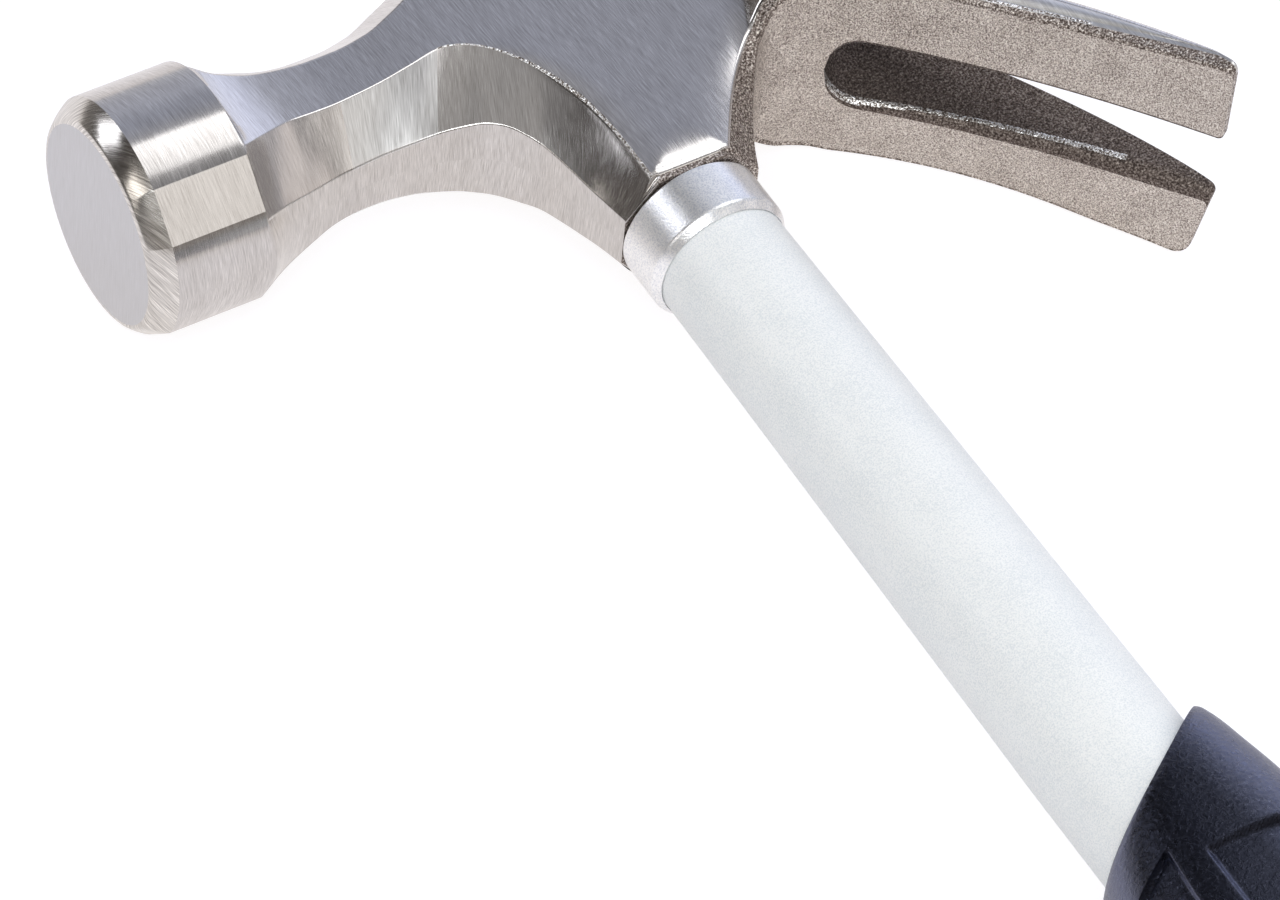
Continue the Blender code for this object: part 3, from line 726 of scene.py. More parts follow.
def head_patches(prong):
    """Half of the head as grids: face, bevel, outside, slot wall and prong end."""
    stretches, claw_places = head_stretches(prong)
    counts = [len(part) for part in stretches]
    ends = np.cumsum(counts)
    slot_half, vee_half, from_root = slot_widths(prong, stretches[2], claw_places, ends[1])
    claw_share = claw_places / claw_places[-1]
    rim = SLOT_RIM_ROUND[prong]
    rim_most = np.concatenate((np.full(ends[2], rim[0]), mix(*rim, claw_share)))
    rim_round = np.minimum(rim_most, slot_half * SLOT_ROUND_SHARE)
    back_round = np.minimum(SLOT_BACK_ROUND, vee_half * SLOT_ROUND_SHARE)

    # The rings: six corners each, the outer ones on the plane of symmetry or at the slot
    edges = np.concatenate(stretches).reshape(-1, 4, 3)
    solid = from_root <= 0.0
    under_half = np.where(solid, 0.0, slot_half + rim_round)
    top_half = np.where(solid, 0.0, vee_half + back_round)
    under_middle = np.column_stack((edges[:, 0, :2], under_half))
    top_middle = np.column_stack((edges[:, 3, :2], top_half))
    corners = [under_middle, *(edges[:, i] for i in range(4)), top_middle]
    bulges = np.zeros((len(edges), 5))
    start = 1.0 - (edges[:, 1, 0] - edges[0, 1, 0]) / NECK_START_LENGTH
    bulges[:, 2] = NECK_START_BULGE * np.clip(start, 0.0, 1.0) ** 2
    bulges[ends[2]:, 2] = CLAW_SIDE_BULGE * hump(claw_share)
    bulges[:ends[0], 1] = along_rows(NECK_EDGES, THROAT_BULGE, counts[0])[:, 0]
    rings, spans = half_rings(corners, head_roundings(counts), bulges)
    roll_cheek(rings, spans, edges[:, 1, :2], head_rolls(counts))

    # Crowns of the underside and the top
    under_crown, top_crown = head_crowns(counts, claw_share)
    outward = outward_of(edges[:, 0, :2])
    under = np.s_[:, :spans[0][1] + 1]
    under_edge = rings[:, spans[0][1], 2]
    rings[under] = crown_out(rings[under], under_edge, under_crown, outward)
    top = np.s_[:, spans[4][0]:]
    upward = np.broadcast_to((0.0, 1.0, 0.0), outward.shape)
    rings[top] = crown_out(rings[top], rings[:, spans[4][0], 2], top_crown, upward)

    # The slanted end of a prong
    claw = np.s_[ends[2]:]
    inner = slot_half[claw, None]
    outer_share = np.clip((rings[claw][..., 2] - inner) / (edges[claw, 1, 2:] - inner), 0.0, 1.0)
    tip_share = ease((claw_share - TIP_SLANT_START) / (1.0 - TIP_SLANT_START))
    shorter = TIP_SLANT[prong] * tip_share[:, None] * outer_share
    rings[claw][..., :2] -= shorter[..., None] * unit(CLAW_TIP - CLAW_ROOT)
    rings = np.concatenate((poll_rings(), rings))
    ends = ends + POLL_RINGS

    # Pattern coordinates: along the head and round it, or the side view on the cheeks
    step = np.linalg.norm(np.diff(rings, axis=0), axis=-1)[:, [spans[i][0] for i in range(3)]]
    along = running(step.mean(axis=1))[:, None]
    around = way_across(rings)
    uv = np.stack(np.broadcast_arrays(along, around), axis=-1)

    # Underside, and the facet beside it up to the side's lower edge
    total = len(rings)
    neck_places = ring_places(NECK_EDGES)
    coarse = [
        POLL_RINGS + round(neck_places[row] / neck_places[-1] * (counts[0] - 1))
        for row in COARSE_PASS_ROWS
    ]
    rim_side = ends[0] + RIM_RINGS[0] - 1
    under = (0, spans[0][1])
    facet = (spans[0][1], spans[1][1])
    bands = (
        (under, 0, ends[0], GROUND),
        (under, ends[0], ends[1], FORGED),
        (under, ends[1], total - 1, BLASTED),
        (facet, 0, coarse[0], GROUND),
        (facet, coarse[0], coarse[1], COARSE),
        (facet, coarse[1], rim_side, GROUND),
        (facet, rim_side, total - 1, FORGED),
    )
    patches = []
    for (first_column, last_column), first_ring, last_ring, finish in bands:
        part = np.s_[first_ring:last_ring + 1, first_column:last_column + 1]
        patches.append(patch(rings[part], uv[part], finish))
    # Side, with its pattern in the side view and its lower edge worn bright past the neck, where white
    # specks are a painted glint, and back
    side = np.s_[:, spans[1][1]:spans[2][1] + 1]
    side_finish = np.full((total - 1, spans[2][1] - spans[1][1]), GROUND)
    side_finish[ends[2]:] = COARSE
    # The worn lower edge, whose white specks are a painted glint
    side_finish[coarse[1]:ends[0], WORN_GLINT_EDGE] = WORN_WITH_GLINT
    side_finish[ends[2]:ends[2] + round(WORN_GLINT_EDGE_END * counts[3]), WORN_GLINT_EDGE] = WORN_WITH_GLINT
    patches.append(patch(rings[side], rings[side][..., :2], side_finish))
    back = np.s_[:, spans[2][1]:]
    patches.append(patch(rings[back], uv[back], GROUND))

    # Striking face and bevel, whose lines run at a slant and on across the plane of symmetry
    face, turn, bevel = face_rings(rings[0])
    patches.append(patch(face, face[:, :, 1:], FACE))
    bevel = np.concatenate((face[-1:], turn, bevel))
    bevel_way = way_across(bevel.transpose(1, 0, 2)).T
    bevel_uv = np.stack((bevel_way, np.broadcast_to(around[:1], bevel_way.shape)), axis=-1)
    slant = np.array((BEVEL_SLANT, (-BEVEL_SLANT[1], BEVEL_SLANT[0])))
    other_uv = (bevel_uv * np.array((1.0, -1.0))) @ slant
    patches.append(patch(bevel, bevel_uv @ slant, BEVEL, other_uv))

    # Slot wall, whose rim is rubbed bright with white specks that are a painted glint, and prong end
    first_slot = np.argmax(from_root > 0.0) - 1
    slot = slice(first_slot, None)
    on_rings = slice(first_slot + POLL_RINGS, None)
    under_slot = np.column_stack((edges[:, 0, :2], slot_half))[:, None]
    under_slot = crown_out(under_slot, under_edge, under_crown, outward)[slot, 0]
    back_slot = np.column_stack((edges[:, 3, :2], vee_half))[slot]
    sides = (rings[on_rings, 0], rings[on_rings, -1], under_slot, back_slot)
    wall = wall_rings(*sides, rim_round[slot], back_round[slot], rings.shape[1])
    wall_uv = np.stack(np.broadcast_arrays(along[on_rings], way_across(wall)), axis=-1)
    share = (from_root[slot] / from_root[-1])[:-1, None]
    column = np.arange(wall.shape[1] - 1)
    # The rim's bright band: rubbed wear, with white specks that are a painted glint along the slot's edge
    glint_from = mix(GLINT_ROOT_COLUMN, GLINT_COLUMN, ease(share / GLINT_NARROW))
    rubbed = (column >= glint_from) & (column <= RIM_TURN_POINTS) & (share < GLINT_END)
    patches.append(patch(wall, wall_uv, np.where(rubbed, WORN_WITH_GLINT, SLOT)))
    end = mix(wall[-1], rings[-1], np.linspace(0.0, 1.0, PRONG_END_POINTS)[:, None, None])
    patches.append(patch(end, end[:, :, (1, 2)], FORGED))
    return patches


def mirrored(patches):
    """The same grids on the other side of the head, wound the other way."""
    other = []
    for part in patches:
        points = part["points"][:, ::-1] * np.array((1.0, 1.0, -1.0))
        uv = part["uv"] + np.array(OTHER_HALF_SHIFT) if part["other_uv"] is None else part["other_uv"]
        other.append(patch(points, uv[:, ::-1], np.atleast_2d(part["finish"])[:, ::-1]))
    return other


# Materials


def ground_steel(tree, dark, light, rough, spacing, length):
    """Drop-forged tool steel, belt-ground: bright, with fine lines across the head that smear
    reflections, and slow changes where one pass of the belt ends and the next begins."""
    coords = add(tree, "ShaderNodeUVMap", uv_map="surface_mm")
    # Sizes in millimetres across and along, and turn, of the lines, lines that cross them and passes
    patterns = []
    for size in ((spacing, length, 0.0), (1.6 * spacing, 2.0 * length, 0.1), (5.0, 40.0, 0.0)):
        spot = add(tree, "ShaderNodeMapping", {
            "Vector": coords,
            "Rotation": (0.0, 0.0, size[2]),
            "Scale": (size[0], size[1], 1.0),
        }, vector_type="TEXTURE")
        patterns.append(add(tree, "ShaderNodeTexNoise", {"Vector": spot, "Scale": 1.0, "Roughness": 0.6}))
    lines, crossed, passes = patterns
    both = add(tree, "ShaderNodeMix", {0: 0.4, 2: lines, 3: crossed})
    tone = add(tree, "ShaderNodeMix", {0: 0.15, 2: both, 3: passes})
    return add(tree, "ShaderNodeBsdfPrincipled", {
        "Base Color": add(tree, "ShaderNodeValToRGB", {0: tone}, ((0.36, dark), (0.64, light))),
        "Metallic": 1.0,
        "Roughness": add(tree, "ShaderNodeMapRange", {0: lines, 1: 0.3, 2: 0.7, 3: rough[0], 4: rough[1]}),
        "Anisotropic": 0.65,
        "Tangent": add(tree, "ShaderNodeTangent", direction_type="UV_MAP", uv_map="surface_mm"),
        "Normal": add(tree, "ShaderNodeBump", {"Height": tone, "Strength": 0.1, "Distance": 0.05 * MM}),
    })


def face_steel(tree):
    """The striking face, ground on a fine wheel: an even, dull light grey with faint lines."""
    # Lines about 0.2 mm apart and 5 mm long
    coords = add(tree, "ShaderNodeUVMap", uv_map="surface_mm")
    size = (0.2, 5.0, 1.0)
    spot = add(tree, "ShaderNodeMapping", {"Vector": coords, "Scale": size}, vector_type="TEXTURE")
    lines = add(tree, "ShaderNodeTexNoise", {"Vector": spot, "Scale": 1.0, "Roughness": 0.6})
    return add(tree, "ShaderNodeBsdfPrincipled", {
        "Base Color": add(tree, "ShaderNodeValToRGB", {0: lines}, ((0.3, "c6c6c8"), (0.7, "cfcfd2"))),
        "Metallic": 1.0,
        "Roughness": 0.46,
        "Normal": add(tree, "ShaderNodeBump", {"Height": lines, "Strength": 0.05, "Distance": 0.04 * MM}),
    })


def forged_steel(tree, shades, rough):
    """Steel as it left the forging die: brown scale over a lumpy surface, with small glints where
    handling has rubbed it bright."""
    # Scale grains of about 0.3 mm on lumps of about 1.2 mm
    spot = add(tree, "ShaderNodeTexCoord").outputs["Object"]
    scale, lumps = (
        add(tree, "ShaderNodeTexNoise", {"Vector": spot, "Scale": 1.0 / (size * MM), "Roughness": 0.6})
        for size in (0.3, 1.2)
    )
    lumps = add(tree, "ShaderNodeMix", {0: 0.5, 2: scale, 3: lumps})
    return add(tree, "ShaderNodeBsdfPrincipled", {
        "Base Color": add(tree, "ShaderNodeValToRGB", {0: scale}, shades),
        "Metallic": 0.85,
        "Roughness": add(tree, "ShaderNodeMapRange", {0: scale, 1: 0.36, 2: 0.7, 3: rough[0], 4: rough[1]}),
        "Normal": add(tree, "ShaderNodeBump", {"Height": lumps, "Strength": 0.8, "Distance": 0.3 * MM}),
    })


def speckled(tree, grains, share, shades, bump, surface):
    """A surface with a fine grain in its colour and its relief.

    Each grain is a size in millimetres and its noise's settings. The tone is the first grain's, with
    a share of the second's where there is one. The bump is the first grain's strength and depth.
    """
    spot = add(tree, "ShaderNodeTexCoord").outputs["Object"]
    fine, *slow = (
        add(tree, "ShaderNodeTexNoise", {"Vector": spot, "Scale": 1.0 / (size * MM), **settings})
        for size, settings in grains
    )
    tone = add(tree, "ShaderNodeMix", {0: share, 2: fine, 3: slow[0]}) if slow else fine
    strength, depth = bump
    relief = {"Height": fine, "Strength": strength, "Distance": depth * MM}
    return add(tree, "ShaderNodeBsdfPrincipled", {
        "Base Color": add(tree, "ShaderNodeValToRGB", {0: tone}, shades),
        "Normal": add(tree, "ShaderNodeBump", relief),
        **surface,
    })


def silver_lacquer(name, dark, light, metallic, rough, gloss):
    """Silver metallic lacquer: pale, with fine flakes that sparkle and a slightly cloudy tone."""
    # Flakes are about 0.03 mm; they are drawn several times wider so that they show
    grains = ((0.22, {"Detail": 1.0}), (9.0, {"Roughness": 0.6}))
    surface = {"Metallic": metallic, "Roughness": rough, "Specular IOR Level": gloss}
    return material(name, speckled, grains, 0.2, ((0.36, dark), (0.6, light)), (0.4, 0.08), surface)


def grip_rubber(tree):
    """Moulded black rubber with a leather grain: nearly black, with a bluish gloss on the grain."""
    # Leather wrinkles of about 0.8 mm, bent by their own noise, with specks of dust
    spot = add(tree, "ShaderNodeTexCoord").outputs["Object"]
    wrinkles = add(tree, "ShaderNodeTexNoise", {
        "Vector": spot,
        "Scale": 1.0 / (0.8 * MM),
        "Detail": 3.0,
        "Roughness": 0.6,
        "Distortion": 0.8,
    })
    dust = add(tree, "ShaderNodeTexNoise", {"Vector": spot, "Scale": 1.0 / (0.3 * MM), "Detail": 1.0})
    shades = ((0.3, "030304"), (0.7, "060608"), (0.8, "34343e"))
    # A waxy bloom, which only shines where it is seen at a slant
    slant = add(tree, "ShaderNodeLayerWeight", {"Blend": 0.5}).outputs["Facing"]
    bloom = {0: slant, 1: 0.26, 2: 0.48, 3: 0.18, 4: 1.0}
    relief = {"Height": wrinkles, "Strength": 0.55, "Distance": 0.35 * MM}
    return add(tree, "ShaderNodeBsdfPrincipled", {
        "Base Color": add(tree, "ShaderNodeValToRGB", {0: dust}, shades),
        "Roughness": add(tree, "ShaderNodeMapRange", {0: wrinkles, 1: 0.3, 2: 0.7, 3: 0.36, 4: 0.24}),
        "IOR": 1.9,
        "Specular IOR Level": add(tree, "ShaderNodeMapRange", bloom),
        "Specular Tint": linear("c8d0f8"),
        "Normal": add(tree, "ShaderNodeBump", relief),
    })


# Pieces


def bore_eye(head):
    """Cuts the eye for the tube right through the head, with a chamfer at the crown."""
    wide = EYE_BORE_RADIUS + EYE_CHAMFER
    profile = [
        (0.0, CROWN_Y + CUT_BEYOND),
        (wide, CROWN_Y + CUT_BEYOND),
        (wide, CROWN_Y),
        (EYE_BORE_RADIUS, CROWN_Y - EYE_CHAMFER),
        (EYE_BORE_RADIUS, -CUT_BEYOND),
        (0.0, -CUT_BEYOND),
    ]
    cutter = skin("eye_cutter", [turned(profile, EYE_SIDES, FORGED)], head.data.materials)
    boolean = head.modifiers.new("eye", "BOOLEAN")
    boolean.operation = "DIFFERENCE"
    boolean.object = cutter
    evaluated = head.evaluated_get(bpy.context.evaluated_depsgraph_get())
    bored = bpy.data.meshes.new_from_object(evaluated)
    head.modifiers.clear()
    head.data = bored
    bored.set_sharp_from_angle(angle=math.radians(HEAD_CREASE))
    bpy.data.objects.remove(cutter)


def make_head():
    """The forged head: two halves, whose prongs have unlike corners, with the eye bored through."""
    scale_shades = ((0.36, "4d433d"), (0.52, "938780"), (0.66, "efe8e0"))
    # Rubbed forging: its white specks, brighter than any steel, are a painted glint
    worn_glint_shades = ((0.4, "5c524c"), (0.49, "bdb6b0"), (0.56, "ffffff"))
    slot_shades = ((0.36, "3f3632"), (0.54, "70655f"), (0.72, "aaa098"))
    # Cleaned with shot: a dull beige grey with pits of about 0.22 mm, and stains of some millimetres
    pits = ((0.22, {"Detail": 1.0}), (6.0, {"Detail": 3.0}))
    blasted_shades = ((0.34, "7b706a"), (0.5, "c5bab2"), (0.66, "f2ebe4"))
    blasted = (pits, 0.15, blasted_shades, (0.8, 0.16), {"Metallic": 0.5, "Roughness": 0.5})
    # Grit lines are about 0.05 mm apart; they are drawn about 0.15 mm apart so that they show
    fine_belt = ("b0aca9", "dcd9d7", (0.17, 0.26), 0.12, 2.8)
    coarse_belt = ("b8b6b4", "e6e5e4", (0.32, 0.42), 0.18, 4.0)
    slanted = ("9c9894", "f4f1ec", (0.19, 0.26), 0.17, 5.0)
    finishes = (
        material("belt-ground tool steel", ground_steel, *fine_belt),
        material("tool steel after a coarse belt", ground_steel, *coarse_belt),
        material("tool steel ground at a slant", ground_steel, *slanted),
        material("fine-ground striking face", face_steel),
        material("shot-blasted forging", speckled, *blasted),
        material("as-forged scale", forged_steel, scale_shades, (0.6, 0.28)),
        # Its white specks are a painted glint
        material("forging worn bright with a painted glint", forged_steel, worn_glint_shades, (0.4, 0.22)),
        material("scale in the nail slot", forged_steel, slot_shades, (0.65, 0.45)),
    )
    head = skin("forged_head", head_patches(0) + mirrored(head_patches(1)), finishes, HEAD_CREASE)
    bore_eye(head)
    place(head, "head_steel", "hammer_head")


# Handle tube: its bore shows down to a stop, and it widens under the head between two heights
TUBE_HEAD_RADIUS = 9.5
TUBE_GRIP_RADIUS = 10.7
TUBE_EYE_RADIUS = 8.2
TUBE_WALL = 1.6
TUBE_TOP = 52.4
TUBE_BORE_STOP = 38.0
TUBE_INNER_CHAMFER = 0.3
TUBE_OUTER_CHAMFER = 0.4
TUBE_SWAGE = (0.5, -4.0)
TUBE_TAPER_END = 104.0
TUBE_END = 276.0
TUBE_LOWER_BORE = 20.0
TUBE_RINGS = 40
HANDLE_SIDES = 160

# Collar
COLLAR_RADIUS = 10.66
COLLAR_LENGTH = 9.05
COLLAR_EDGE_ROUND = 0.3
COLLAR_SHOULDER = 1.3
COLLAR_SHOULDER_ROUND = 0.35
COLLAR_FOOT_ROUND = 0.15
COLLAR_FOOT_GAP = 0.14
COLLAR_FOOT_DEPTH = 0.6
COLLAR_INSIDE_TUBE = 0.6
COLLAR_EDGE_POINTS = 7
COLLAR_SIDE_POINTS = 16
COLLAR_TURN_POINTS = 9


def tube_radius(height):
    """The tapered tube's radius at a height under the head."""
    return mix(TUBE_HEAD_RADIUS, TUBE_GRIP_RADIUS, -height / TUBE_TAPER_END)


def make_tube():
    """The tube's outside, its upper end in the eye and its lower end inside the grip."""
    inner = TUBE_EYE_RADIUS - TUBE_WALL
    lower_inner = TUBE_GRIP_RADIUS - TUBE_WALL
    heights = np.linspace(-COLLAR_LENGTH, -TUBE_TAPER_END, TUBE_RINGS)
    profile = [
        (inner, TUBE_BORE_STOP),
        (inner, TUBE_TOP - TUBE_INNER_CHAMFER),
        (inner + TUBE_INNER_CHAMFER, TUBE_TOP),
        (TUBE_EYE_RADIUS - TUBE_OUTER_CHAMFER, TUBE_TOP),
        (TUBE_EYE_RADIUS, TUBE_TOP - TUBE_OUTER_CHAMFER),
        (TUBE_EYE_RADIUS, TUBE_SWAGE[0]),
        (TUBE_HEAD_RADIUS, TUBE_SWAGE[1]),
        *zip(tube_radius(heights), heights),
        (TUBE_GRIP_RADIUS, -TUBE_END),
        (lower_inner, -TUBE_END),
        (lower_inner, -TUBE_END + TUBE_LOWER_BORE),
        (inner, TUBE_BORE_STOP),
    ]
    lacquer = silver_lacquer("silver flake lacquer", "e8edf0", "fdffff", 0.03, 0.4, 0.2)
    tube = skin("handle_tube", [turned(profile, HANDLE_SIDES, 0)], (lacquer,))
    place(tube, "tube_paint", "shaft_tube")


def make_collar():
    """The pressed collar: a straight sleeve, whose shoulder is a cone down to a fine gap round the
    tube. A quarter circle rounds its upper edge, and quadratic curves the shoulder's two edges."""
    top = -COLLAR_GAP
    bottom = top - COLLAR_LENGTH
    turn = np.linspace(0.0, 0.5 * math.pi, COLLAR_EDGE_POINTS)
    quarter = np.column_stack((np.sin(turn), np.cos(turn))) - 1.0
    upper_edge = [*map(tuple, np.array((COLLAR_RADIUS, top)) + COLLAR_EDGE_ROUND * quarter)]
    side_end = bottom + COLLAR_SHOULDER + COLLAR_SHOULDER_ROUND
    heights = np.linspace(top - COLLAR_EDGE_ROUND, side_end, COLLAR_SIDE_POINTS)[1:-1]
    high = np.array((COLLAR_RADIUS, bottom + COLLAR_SHOULDER))
    low = np.array((tube_radius(bottom) + COLLAR_FOOT_GAP, bottom))
    slope = unit(low - high)
    t = np.linspace(0.0, 1.0, COLLAR_TURN_POINTS)
    upper_turn = (high + (0.0, COLLAR_SHOULDER_ROUND), high, high + slope * COLLAR_SHOULDER_ROUND)
    lower_turn = (low - slope * COLLAR_FOOT_ROUND, low, low + (0.0, COLLAR_FOOT_ROUND))
    inner = TUBE_HEAD_RADIUS - COLLAR_INSIDE_TUBE
    profile = [
        *upper_edge,
        *((COLLAR_RADIUS, height) for height in heights),
        *map(tuple, bezier(upper_turn, t)),
        *map(tuple, bezier(lower_turn, t)),
        (low[0], bottom + COLLAR_FOOT_DEPTH),
        (inner, bottom + COLLAR_FOOT_DEPTH),
        (inner, top),
        upper_edge[0],
    ]
    name = "silver flake lacquer on pressed collar"
    lacquer = silver_lacquer(name, "dcdfe5", "ffffff", 0.78, 0.3, 0.5)
    collar = skin("pressed_collar", [turned(profile, HANDLE_SIDES, 0)], (lacquer,))
    place(collar, "collar_paint", "shaft_collar")


# Grip and its moulded panels
GRIP_EDGE = 115.9
GRIP_SLANT = math.radians(34.5)
GRIP_EDGE_DIP = 0.9
GRIP_EDGE_HALF = 12.6
GRIP_SLANT_FADE = 60.0
GRIP_LENGTH = 169.3
GRIP_SQUARENESS = 2.3
GRIP_END_ROUND = 5.0
GRIP_LIP_LENGTH = 12.0
GRIP_TUBE_GAP = 0.05
PANEL_DEPTH = 1.2
PANEL_STEP = 0.6
SIDE_PANEL_ANGLES = (62.0, 103.0)
SIDE_PANEL_HEIGHTS = (-250.0, -132.4)
FRONT_PANEL_ANGLE = 118.5
FRONT_PANEL_BELOW = (8.1, 131.0)
# Share of the grip's length, and the rubber's thickness over the tube along X and along Z
GRIP_WALLS = (
    (0.00, 1.9, 1.5),
    (0.006, 2.5, 1.9),
    (0.04, 4.1, 2.8),
    (0.12, 6.5, 3.7),
    (0.31, 4.5, 2.9),
    (0.54, 5.5, 3.5),
    (0.76, 4.9, 3.3),
    (0.91, 7.9, 6.1),
    (0.96, 8.1, 6.3),
    (1.00, 7.6, 5.8),
)
# Shares of the grip's length between which its rings are equally spaced, and how many; how far out
# the end's first ring is, and how many it has
GRIP_RINGS = ((0.0, 0.04, 20), (0.04, 0.34, 150), (0.34, 1.0, 110))
GRIP_SIDES = 320
GRIP_CAP_START = 0.8
GRIP_CAP_RINGS = 5


def grip_height(x, below):
    """The height of a point at a distance below the grip's edge.

    The edge slants along X and dips in the middle by a parabola, both less further down.
    """
    dip = GRIP_EDGE_DIP * np.clip(1.0 - (x / GRIP_EDGE_HALF) ** 2, 0.0, 1.0)
    fade = np.clip(1.0 - below / GRIP_SLANT_FADE, 0.0, 1.0)
    return -GRIP_EDGE - below + (math.tan(GRIP_SLANT) * x - dip) * fade


def grip_recess(angle, x, below):
    """How deep the moulded panels are at each point of the grip.

    Two side panels lie between two angles from the axis of X, and one panel wraps round the front
    under the slanted edge. A panel's depth eases in from each of its borders.
    """
    turn = np.degrees(np.minimum(angle, 2.0 * math.pi - angle))
    degree = math.radians(1.0) * (TUBE_GRIP_RADIUS + GRIP_WALLS[2][2])
    height = grip_height(x, below)
    first, last = SIDE_PANEL_ANGLES
    bottom, top = SIDE_PANEL_HEIGHTS
    side = ease(np.minimum(turn - first, last - turn) * degree / PANEL_STEP)
    side = side * ease(np.minimum(top - height, height - bottom) / PANEL_STEP)
    start, stop = FRONT_PANEL_BELOW
    front = ease((turn - FRONT_PANEL_ANGLE) * degree / PANEL_STEP)
    front = front * ease(np.minimum(below - start, stop - below) / PANEL_STEP)
    return PANEL_DEPTH * np.maximum(side, front)


def make_grip():
    """The rubber grip: superellipse rings round the tube, sheared to follow the slanted edge."""
    walls = np.array(GRIP_WALLS)
    share = np.concatenate([
        np.linspace(start, stop, rings)[:-1] for start, stop, rings in GRIP_RINGS
    ] + [np.ones(1)])
    half = TUBE_GRIP_RADIUS + smooth_through(walls[:, 0], walls[:, 1:], share)
    angle = np.linspace(0.0, 2.0 * math.pi, GRIP_SIDES + 1)
    cosine = np.cos(angle)
    sine = np.sin(angle)
    below = share[:, None] * GRIP_LENGTH
    end = np.clip((below - GRIP_LENGTH + GRIP_END_ROUND) / GRIP_END_ROUND, 0.0, 1.0)
    inset = GRIP_END_ROUND * (1.0 - np.sqrt(1.0 - end * end))
    power = 2.0 / GRIP_SQUARENESS
    x = (half[:, :1] - inset) * np.sign(cosine) * np.abs(cosine) ** power
    z = (half[:, 1:] - inset) * np.sign(sine) * np.abs(sine) ** power
    recess = grip_recess(angle, x, below)
    rings = np.stack((x - recess * cosine, grip_height(x, below), z - recess * sine), axis=-1)
    middle = np.array((0.0, -GRIP_EDGE - GRIP_LENGTH, 0.0))
    cap = mix(middle, rings[-1], np.linspace(GRIP_CAP_START, 0.0, GRIP_CAP_RINGS)[:, None, None])
    inner_radius = TUBE_GRIP_RADIUS + GRIP_TUBE_GAP
    lip_x = inner_radius * cosine
    lip = np.stack((lip_x, grip_height(lip_x, 0.0), inner_radius * sine), axis=-1)
    inside = lip - np.array((0.0, GRIP_LIP_LENGTH, 0.0))
    grid = np.concatenate((inside[None], lip[None], rings, cap))
    round_way = np.broadcast_to(angle * TUBE_GRIP_RADIUS, grid.shape[:2])
    uv = np.stack((round_way, grid[:, :, 1]), axis=-1)
    rubber = material("moulded grained rubber", grip_rubber)
    grip = skin("rubber_grip", [patch(grid, uv, 0)], (rubber,), GRIP_CREASE)
    place(grip, "grip_rubber", "grip_sleeve")


def finish_plugs():
    """The CAD plugs' finishes: turned mild steel, dull with fine marks, and waxy grey polyethylene."""
    # Tool marks of about 0.4 mm in the steel, and a mottle of about 2 mm in the plastic
    marks = ((0.4, {"Detail": 3.0}),)
    mottle = ((2.0, {"Detail": 3.0}),)
    steel_shades = ((0.3, "8f8c8a"), (0.7, "b5b2b0"))
    plastic_shades = ((0.3, "2b2b2d"), (0.7, "3a3a3d"))
    steel = (marks, 0.0, steel_shades, (0.2, 0.08), {"Metallic": 1.0, "Roughness": 0.4})
    plastic = (mottle, 0.0, plastic_shades, (0.15, 0.1), {"Roughness": 0.5, "IOR": 1.51})
    for node_name, name, look in (
        ("eye_plug", "turned mild steel", steel),
        ("tube_end_plug", "moulded polyethylene", plastic),
    ):
        node_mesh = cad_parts[node_name].data
        node_mesh.materials.clear()
        node_mesh.materials.append(material(name, speckled, *look))


make_head()
make_tube()
make_collar()
make_grip()
finish_plugs()


# Camera: the photograph's viewing angle

IMAGE_WIDTH = 1280
FOCAL_PIXELS = 7666.12
SENSOR_WIDTH = 36.0
VIEW_AZIMUTH = math.radians(-35.64)
VIEW_ELEVATION = math.radians(49.32)
VIEW_ROLL = 0.11
VIEW_DISTANCE = 1.02547
VIEW_TARGET = np.array((-27.41, -32.99, 0.0))
VIEW_END = 20.0


def set_pose(made, right, up, back, spot):
    """Puts an object at a spot, with its three axes along the given directions."""
    pose = np.eye(4)
    pose[:3] = np.column_stack((right, up, back, spot))
    made.matrix_world = Matrix(pose.tolist())


def make_camera():
    """A camera that looks at the target from an azimuth and elevation, turned by the roll."""
    back = np.array((
        math.sin(VIEW_AZIMUTH) * math.cos(VIEW_ELEVATION),
        -math.cos(VIEW_AZIMUTH) * math.cos(VIEW_ELEVATION),
        math.sin(VIEW_ELEVATION),
    ))
    right = np.array((math.cos(VIEW_AZIMUTH), math.sin(VIEW_AZIMUTH), 0.0))
    up = np.cross(back, right)
    turned_right = math.cos(VIEW_ROLL) * right + math.sin(VIEW_ROLL) * up
    turned_up = math.cos(VIEW_ROLL) * up - math.sin(VIEW_ROLL) * right
    data = bpy.data.cameras.new("camera")
    data.sensor_width = SENSOR_WIDTH
    data.lens = FOCAL_PIXELS * SENSOR_WIDTH / IMAGE_WIDTH
    data.clip_end = VIEW_END
    made = linked("camera", data)
    set_pose(made, turned_right, turned_up, back, ORIGIN + VIEW_TARGET * MM + back * VIEW_DISTANCE)
    bpy.context.scene.camera = made


# Studio: white floor, a soft grey room and soft boxes

FLOOR_HALF = 6.0
FLOOR_GLOW = 0.86

# The near wall's colours by the sine of the elevation. The other walls take over from it: direction
# over the floor, between which dot products with it, and colours
ROOM_STRENGTH = 1.15
NEAR_WALL = (
    (0.0, "928c86"), (0.3, "8c8682"), (0.5, "98938e"), (0.66, "716d69"), (0.8, "555457"), (1.0, "b4b2b0"),
)
FAR_WALL = (
    (0.0, "cbcfda"), (0.3, "bcc0ce"), (0.5, "bbc0cf"), (0.68, "a3a8b7"), (0.78, "9da2b1"), (1.0, "a6a5a4"),
)
LEFT_WALL = (
    (0.0, "6e6a67"), (0.22, "625e5b"), (0.34, "524d4a"), (0.46, "45413f"), (0.9, "4a4643"), (1.0, "959391"),
)
OTHER_WALLS = (
    ((0.2, 0.98, 0.0), -0.5, 0.5, FAR_WALL),
    ((-0.85, 0.53, 0.0), 0.18, 0.5, LEFT_WALL),
)

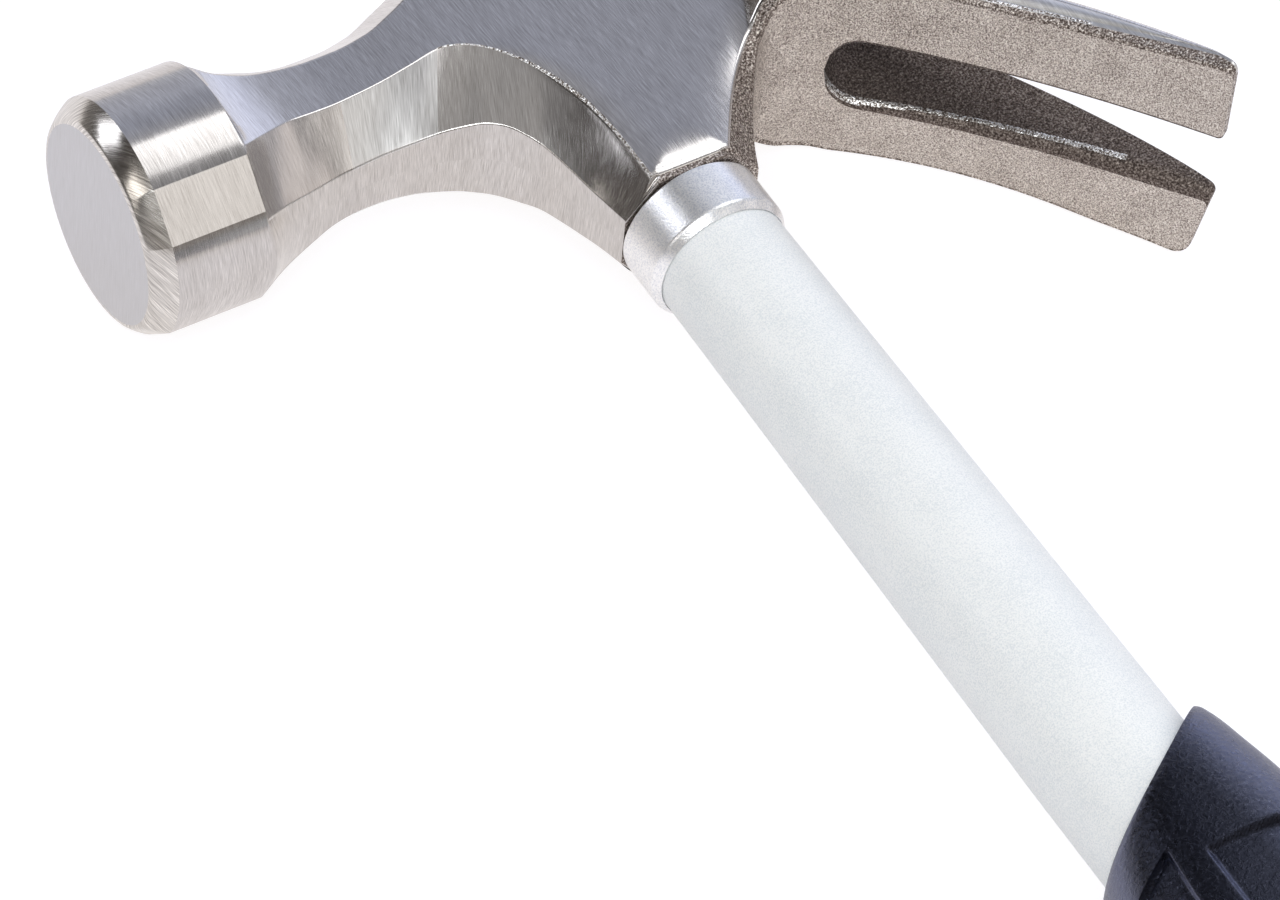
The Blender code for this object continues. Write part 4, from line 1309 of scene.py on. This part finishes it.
# Soft boxes: name, direction from the head, width and height in metres, radiance and colour
LIGHT_TARGET = np.array((0.0, 20.0, 0.0))
LIGHT_DISTANCE = 1.4
SOFT_BOXES = (
    ("overhead soft box", (0.50, 0.06, 0.864), 0.78, 0.64, 2.8, "ffffff"),
    ("fill soft box", (-0.36, -0.46, 0.81), 0.56, 0.56, 8.0, "fbfeff"),
    ("front soft box", (0.30, -0.70, 0.65), 0.95, 0.50, 1.08, "fffdfa"),
    ("back soft box", (-0.57, 0.64, 0.51), 0.42, 0.54, 3.6, "f6f8ff"),
    ("left soft box", (-0.83, -0.15, 0.54), 0.50, 0.38, 2.6, "fffaf4"),
    ("right soft box", (0.80, 0.55, 0.24), 0.70, 0.54, 0.74, "d4deff"),
    ("low warm soft box", (0.86, -0.36, 0.36), 0.55, 0.45, 0.62, "fff4ea"),
)


def floor_paper(tree):
    """White paper: seen directly it glows white and keeps a faint shadow, and in the steel it is a
    little warmer. To the light it is plain pale paper."""
    path = add(tree, "ShaderNodeLightPath").outputs
    direct = path["Is Camera Ray"]
    seen = add(tree, "ShaderNodeMath", {0: direct, 1: path["Is Glossy Ray"]}, operation="MAXIMUM")
    tint = add(tree, "ShaderNodeMixRGB", {0: direct, 1: linear("f6ece0"), 2: linear("fffbf6")})
    paper = add(tree, "ShaderNodeBsdfDiffuse", {"Color": linear("f2f2f4")})
    shadow = add(tree, "ShaderNodeBsdfDiffuse", {"Color": linear("8d97ac")})
    glow = add(tree, "ShaderNodeEmission", {"Color": tint, "Strength": FLOOR_GLOW})
    white = add(tree, "ShaderNodeAddShader", {0: glow, 1: shadow})
    return add(tree, "ShaderNodeMixShader", {0: seen, 1: paper, 2: white})


def make_floor():
    """A wide square floor under the hammer."""
    half = FLOOR_HALF
    mesh = bpy.data.meshes.new("floor")
    corners = [(-half, -half, 0.0), (half, -half, 0.0), (half, half, 0.0), (-half, half, 0.0)]
    mesh.from_pydata(corners, [], [(0, 1, 2, 3)])
    mesh.materials.append(material("white paper floor", floor_paper))
    floor = linked("floor", mesh)


def make_room():
    """A soft room: pale on the far side, dimmer on the near side and dark on the left."""
    world = bpy.data.worlds.new("soft grey room")
    bpy.context.scene.world = world
    world.use_nodes = True
    tree = world.node_tree
    tree.nodes.clear()
    way = add(tree, "ShaderNodeTexCoord").outputs["Generated"]
    height = add(tree, "ShaderNodeSeparateXYZ", {0: way}).outputs["Z"]
    wall = add(tree, "ShaderNodeValToRGB", {0: height}, NEAR_WALL)
    for direction, start, end, stops in OTHER_WALLS:
        towards = add(tree, "ShaderNodeVectorMath", {0: way, 1: direction}, operation="DOT_PRODUCT")
        share = add(tree, "ShaderNodeMapRange", {0: towards.outputs["Value"], 1: start, 2: end})
        other = add(tree, "ShaderNodeValToRGB", {0: height}, stops)
        wall = add(tree, "ShaderNodeMixRGB", {0: share, 1: wall, 2: other})
    background = add(tree, "ShaderNodeBackground", {"Color": wall, "Strength": ROOM_STRENGTH})
    add(tree, "ShaderNodeOutputWorld", {"Surface": background})


def make_soft_box(name, direction, width, height, radiance, colour):
    """A rectangular soft box that faces the head. Its power follows from the wanted radiance."""
    data = bpy.data.lights.new(name, "AREA")
    data.shape = "RECTANGLE"
    data.size = width
    data.size_y = height
    data.energy = radiance * math.pi * width * height
    data.color = linear(colour)[:3]
    away = unit(np.array(direction, float))
    side = unit(np.cross((0.0, 0.0, 1.0), away))
    spot = ORIGIN + LIGHT_TARGET * MM + away * LIGHT_DISTANCE
    set_pose(linked(name, data), side, np.cross(away, side), away, spot)


make_camera()
make_floor()
make_room()
for soft_box in SOFT_BOXES:
    make_soft_box(*soft_box)
bpy.context.scene.view_settings.view_transform = "Standard"
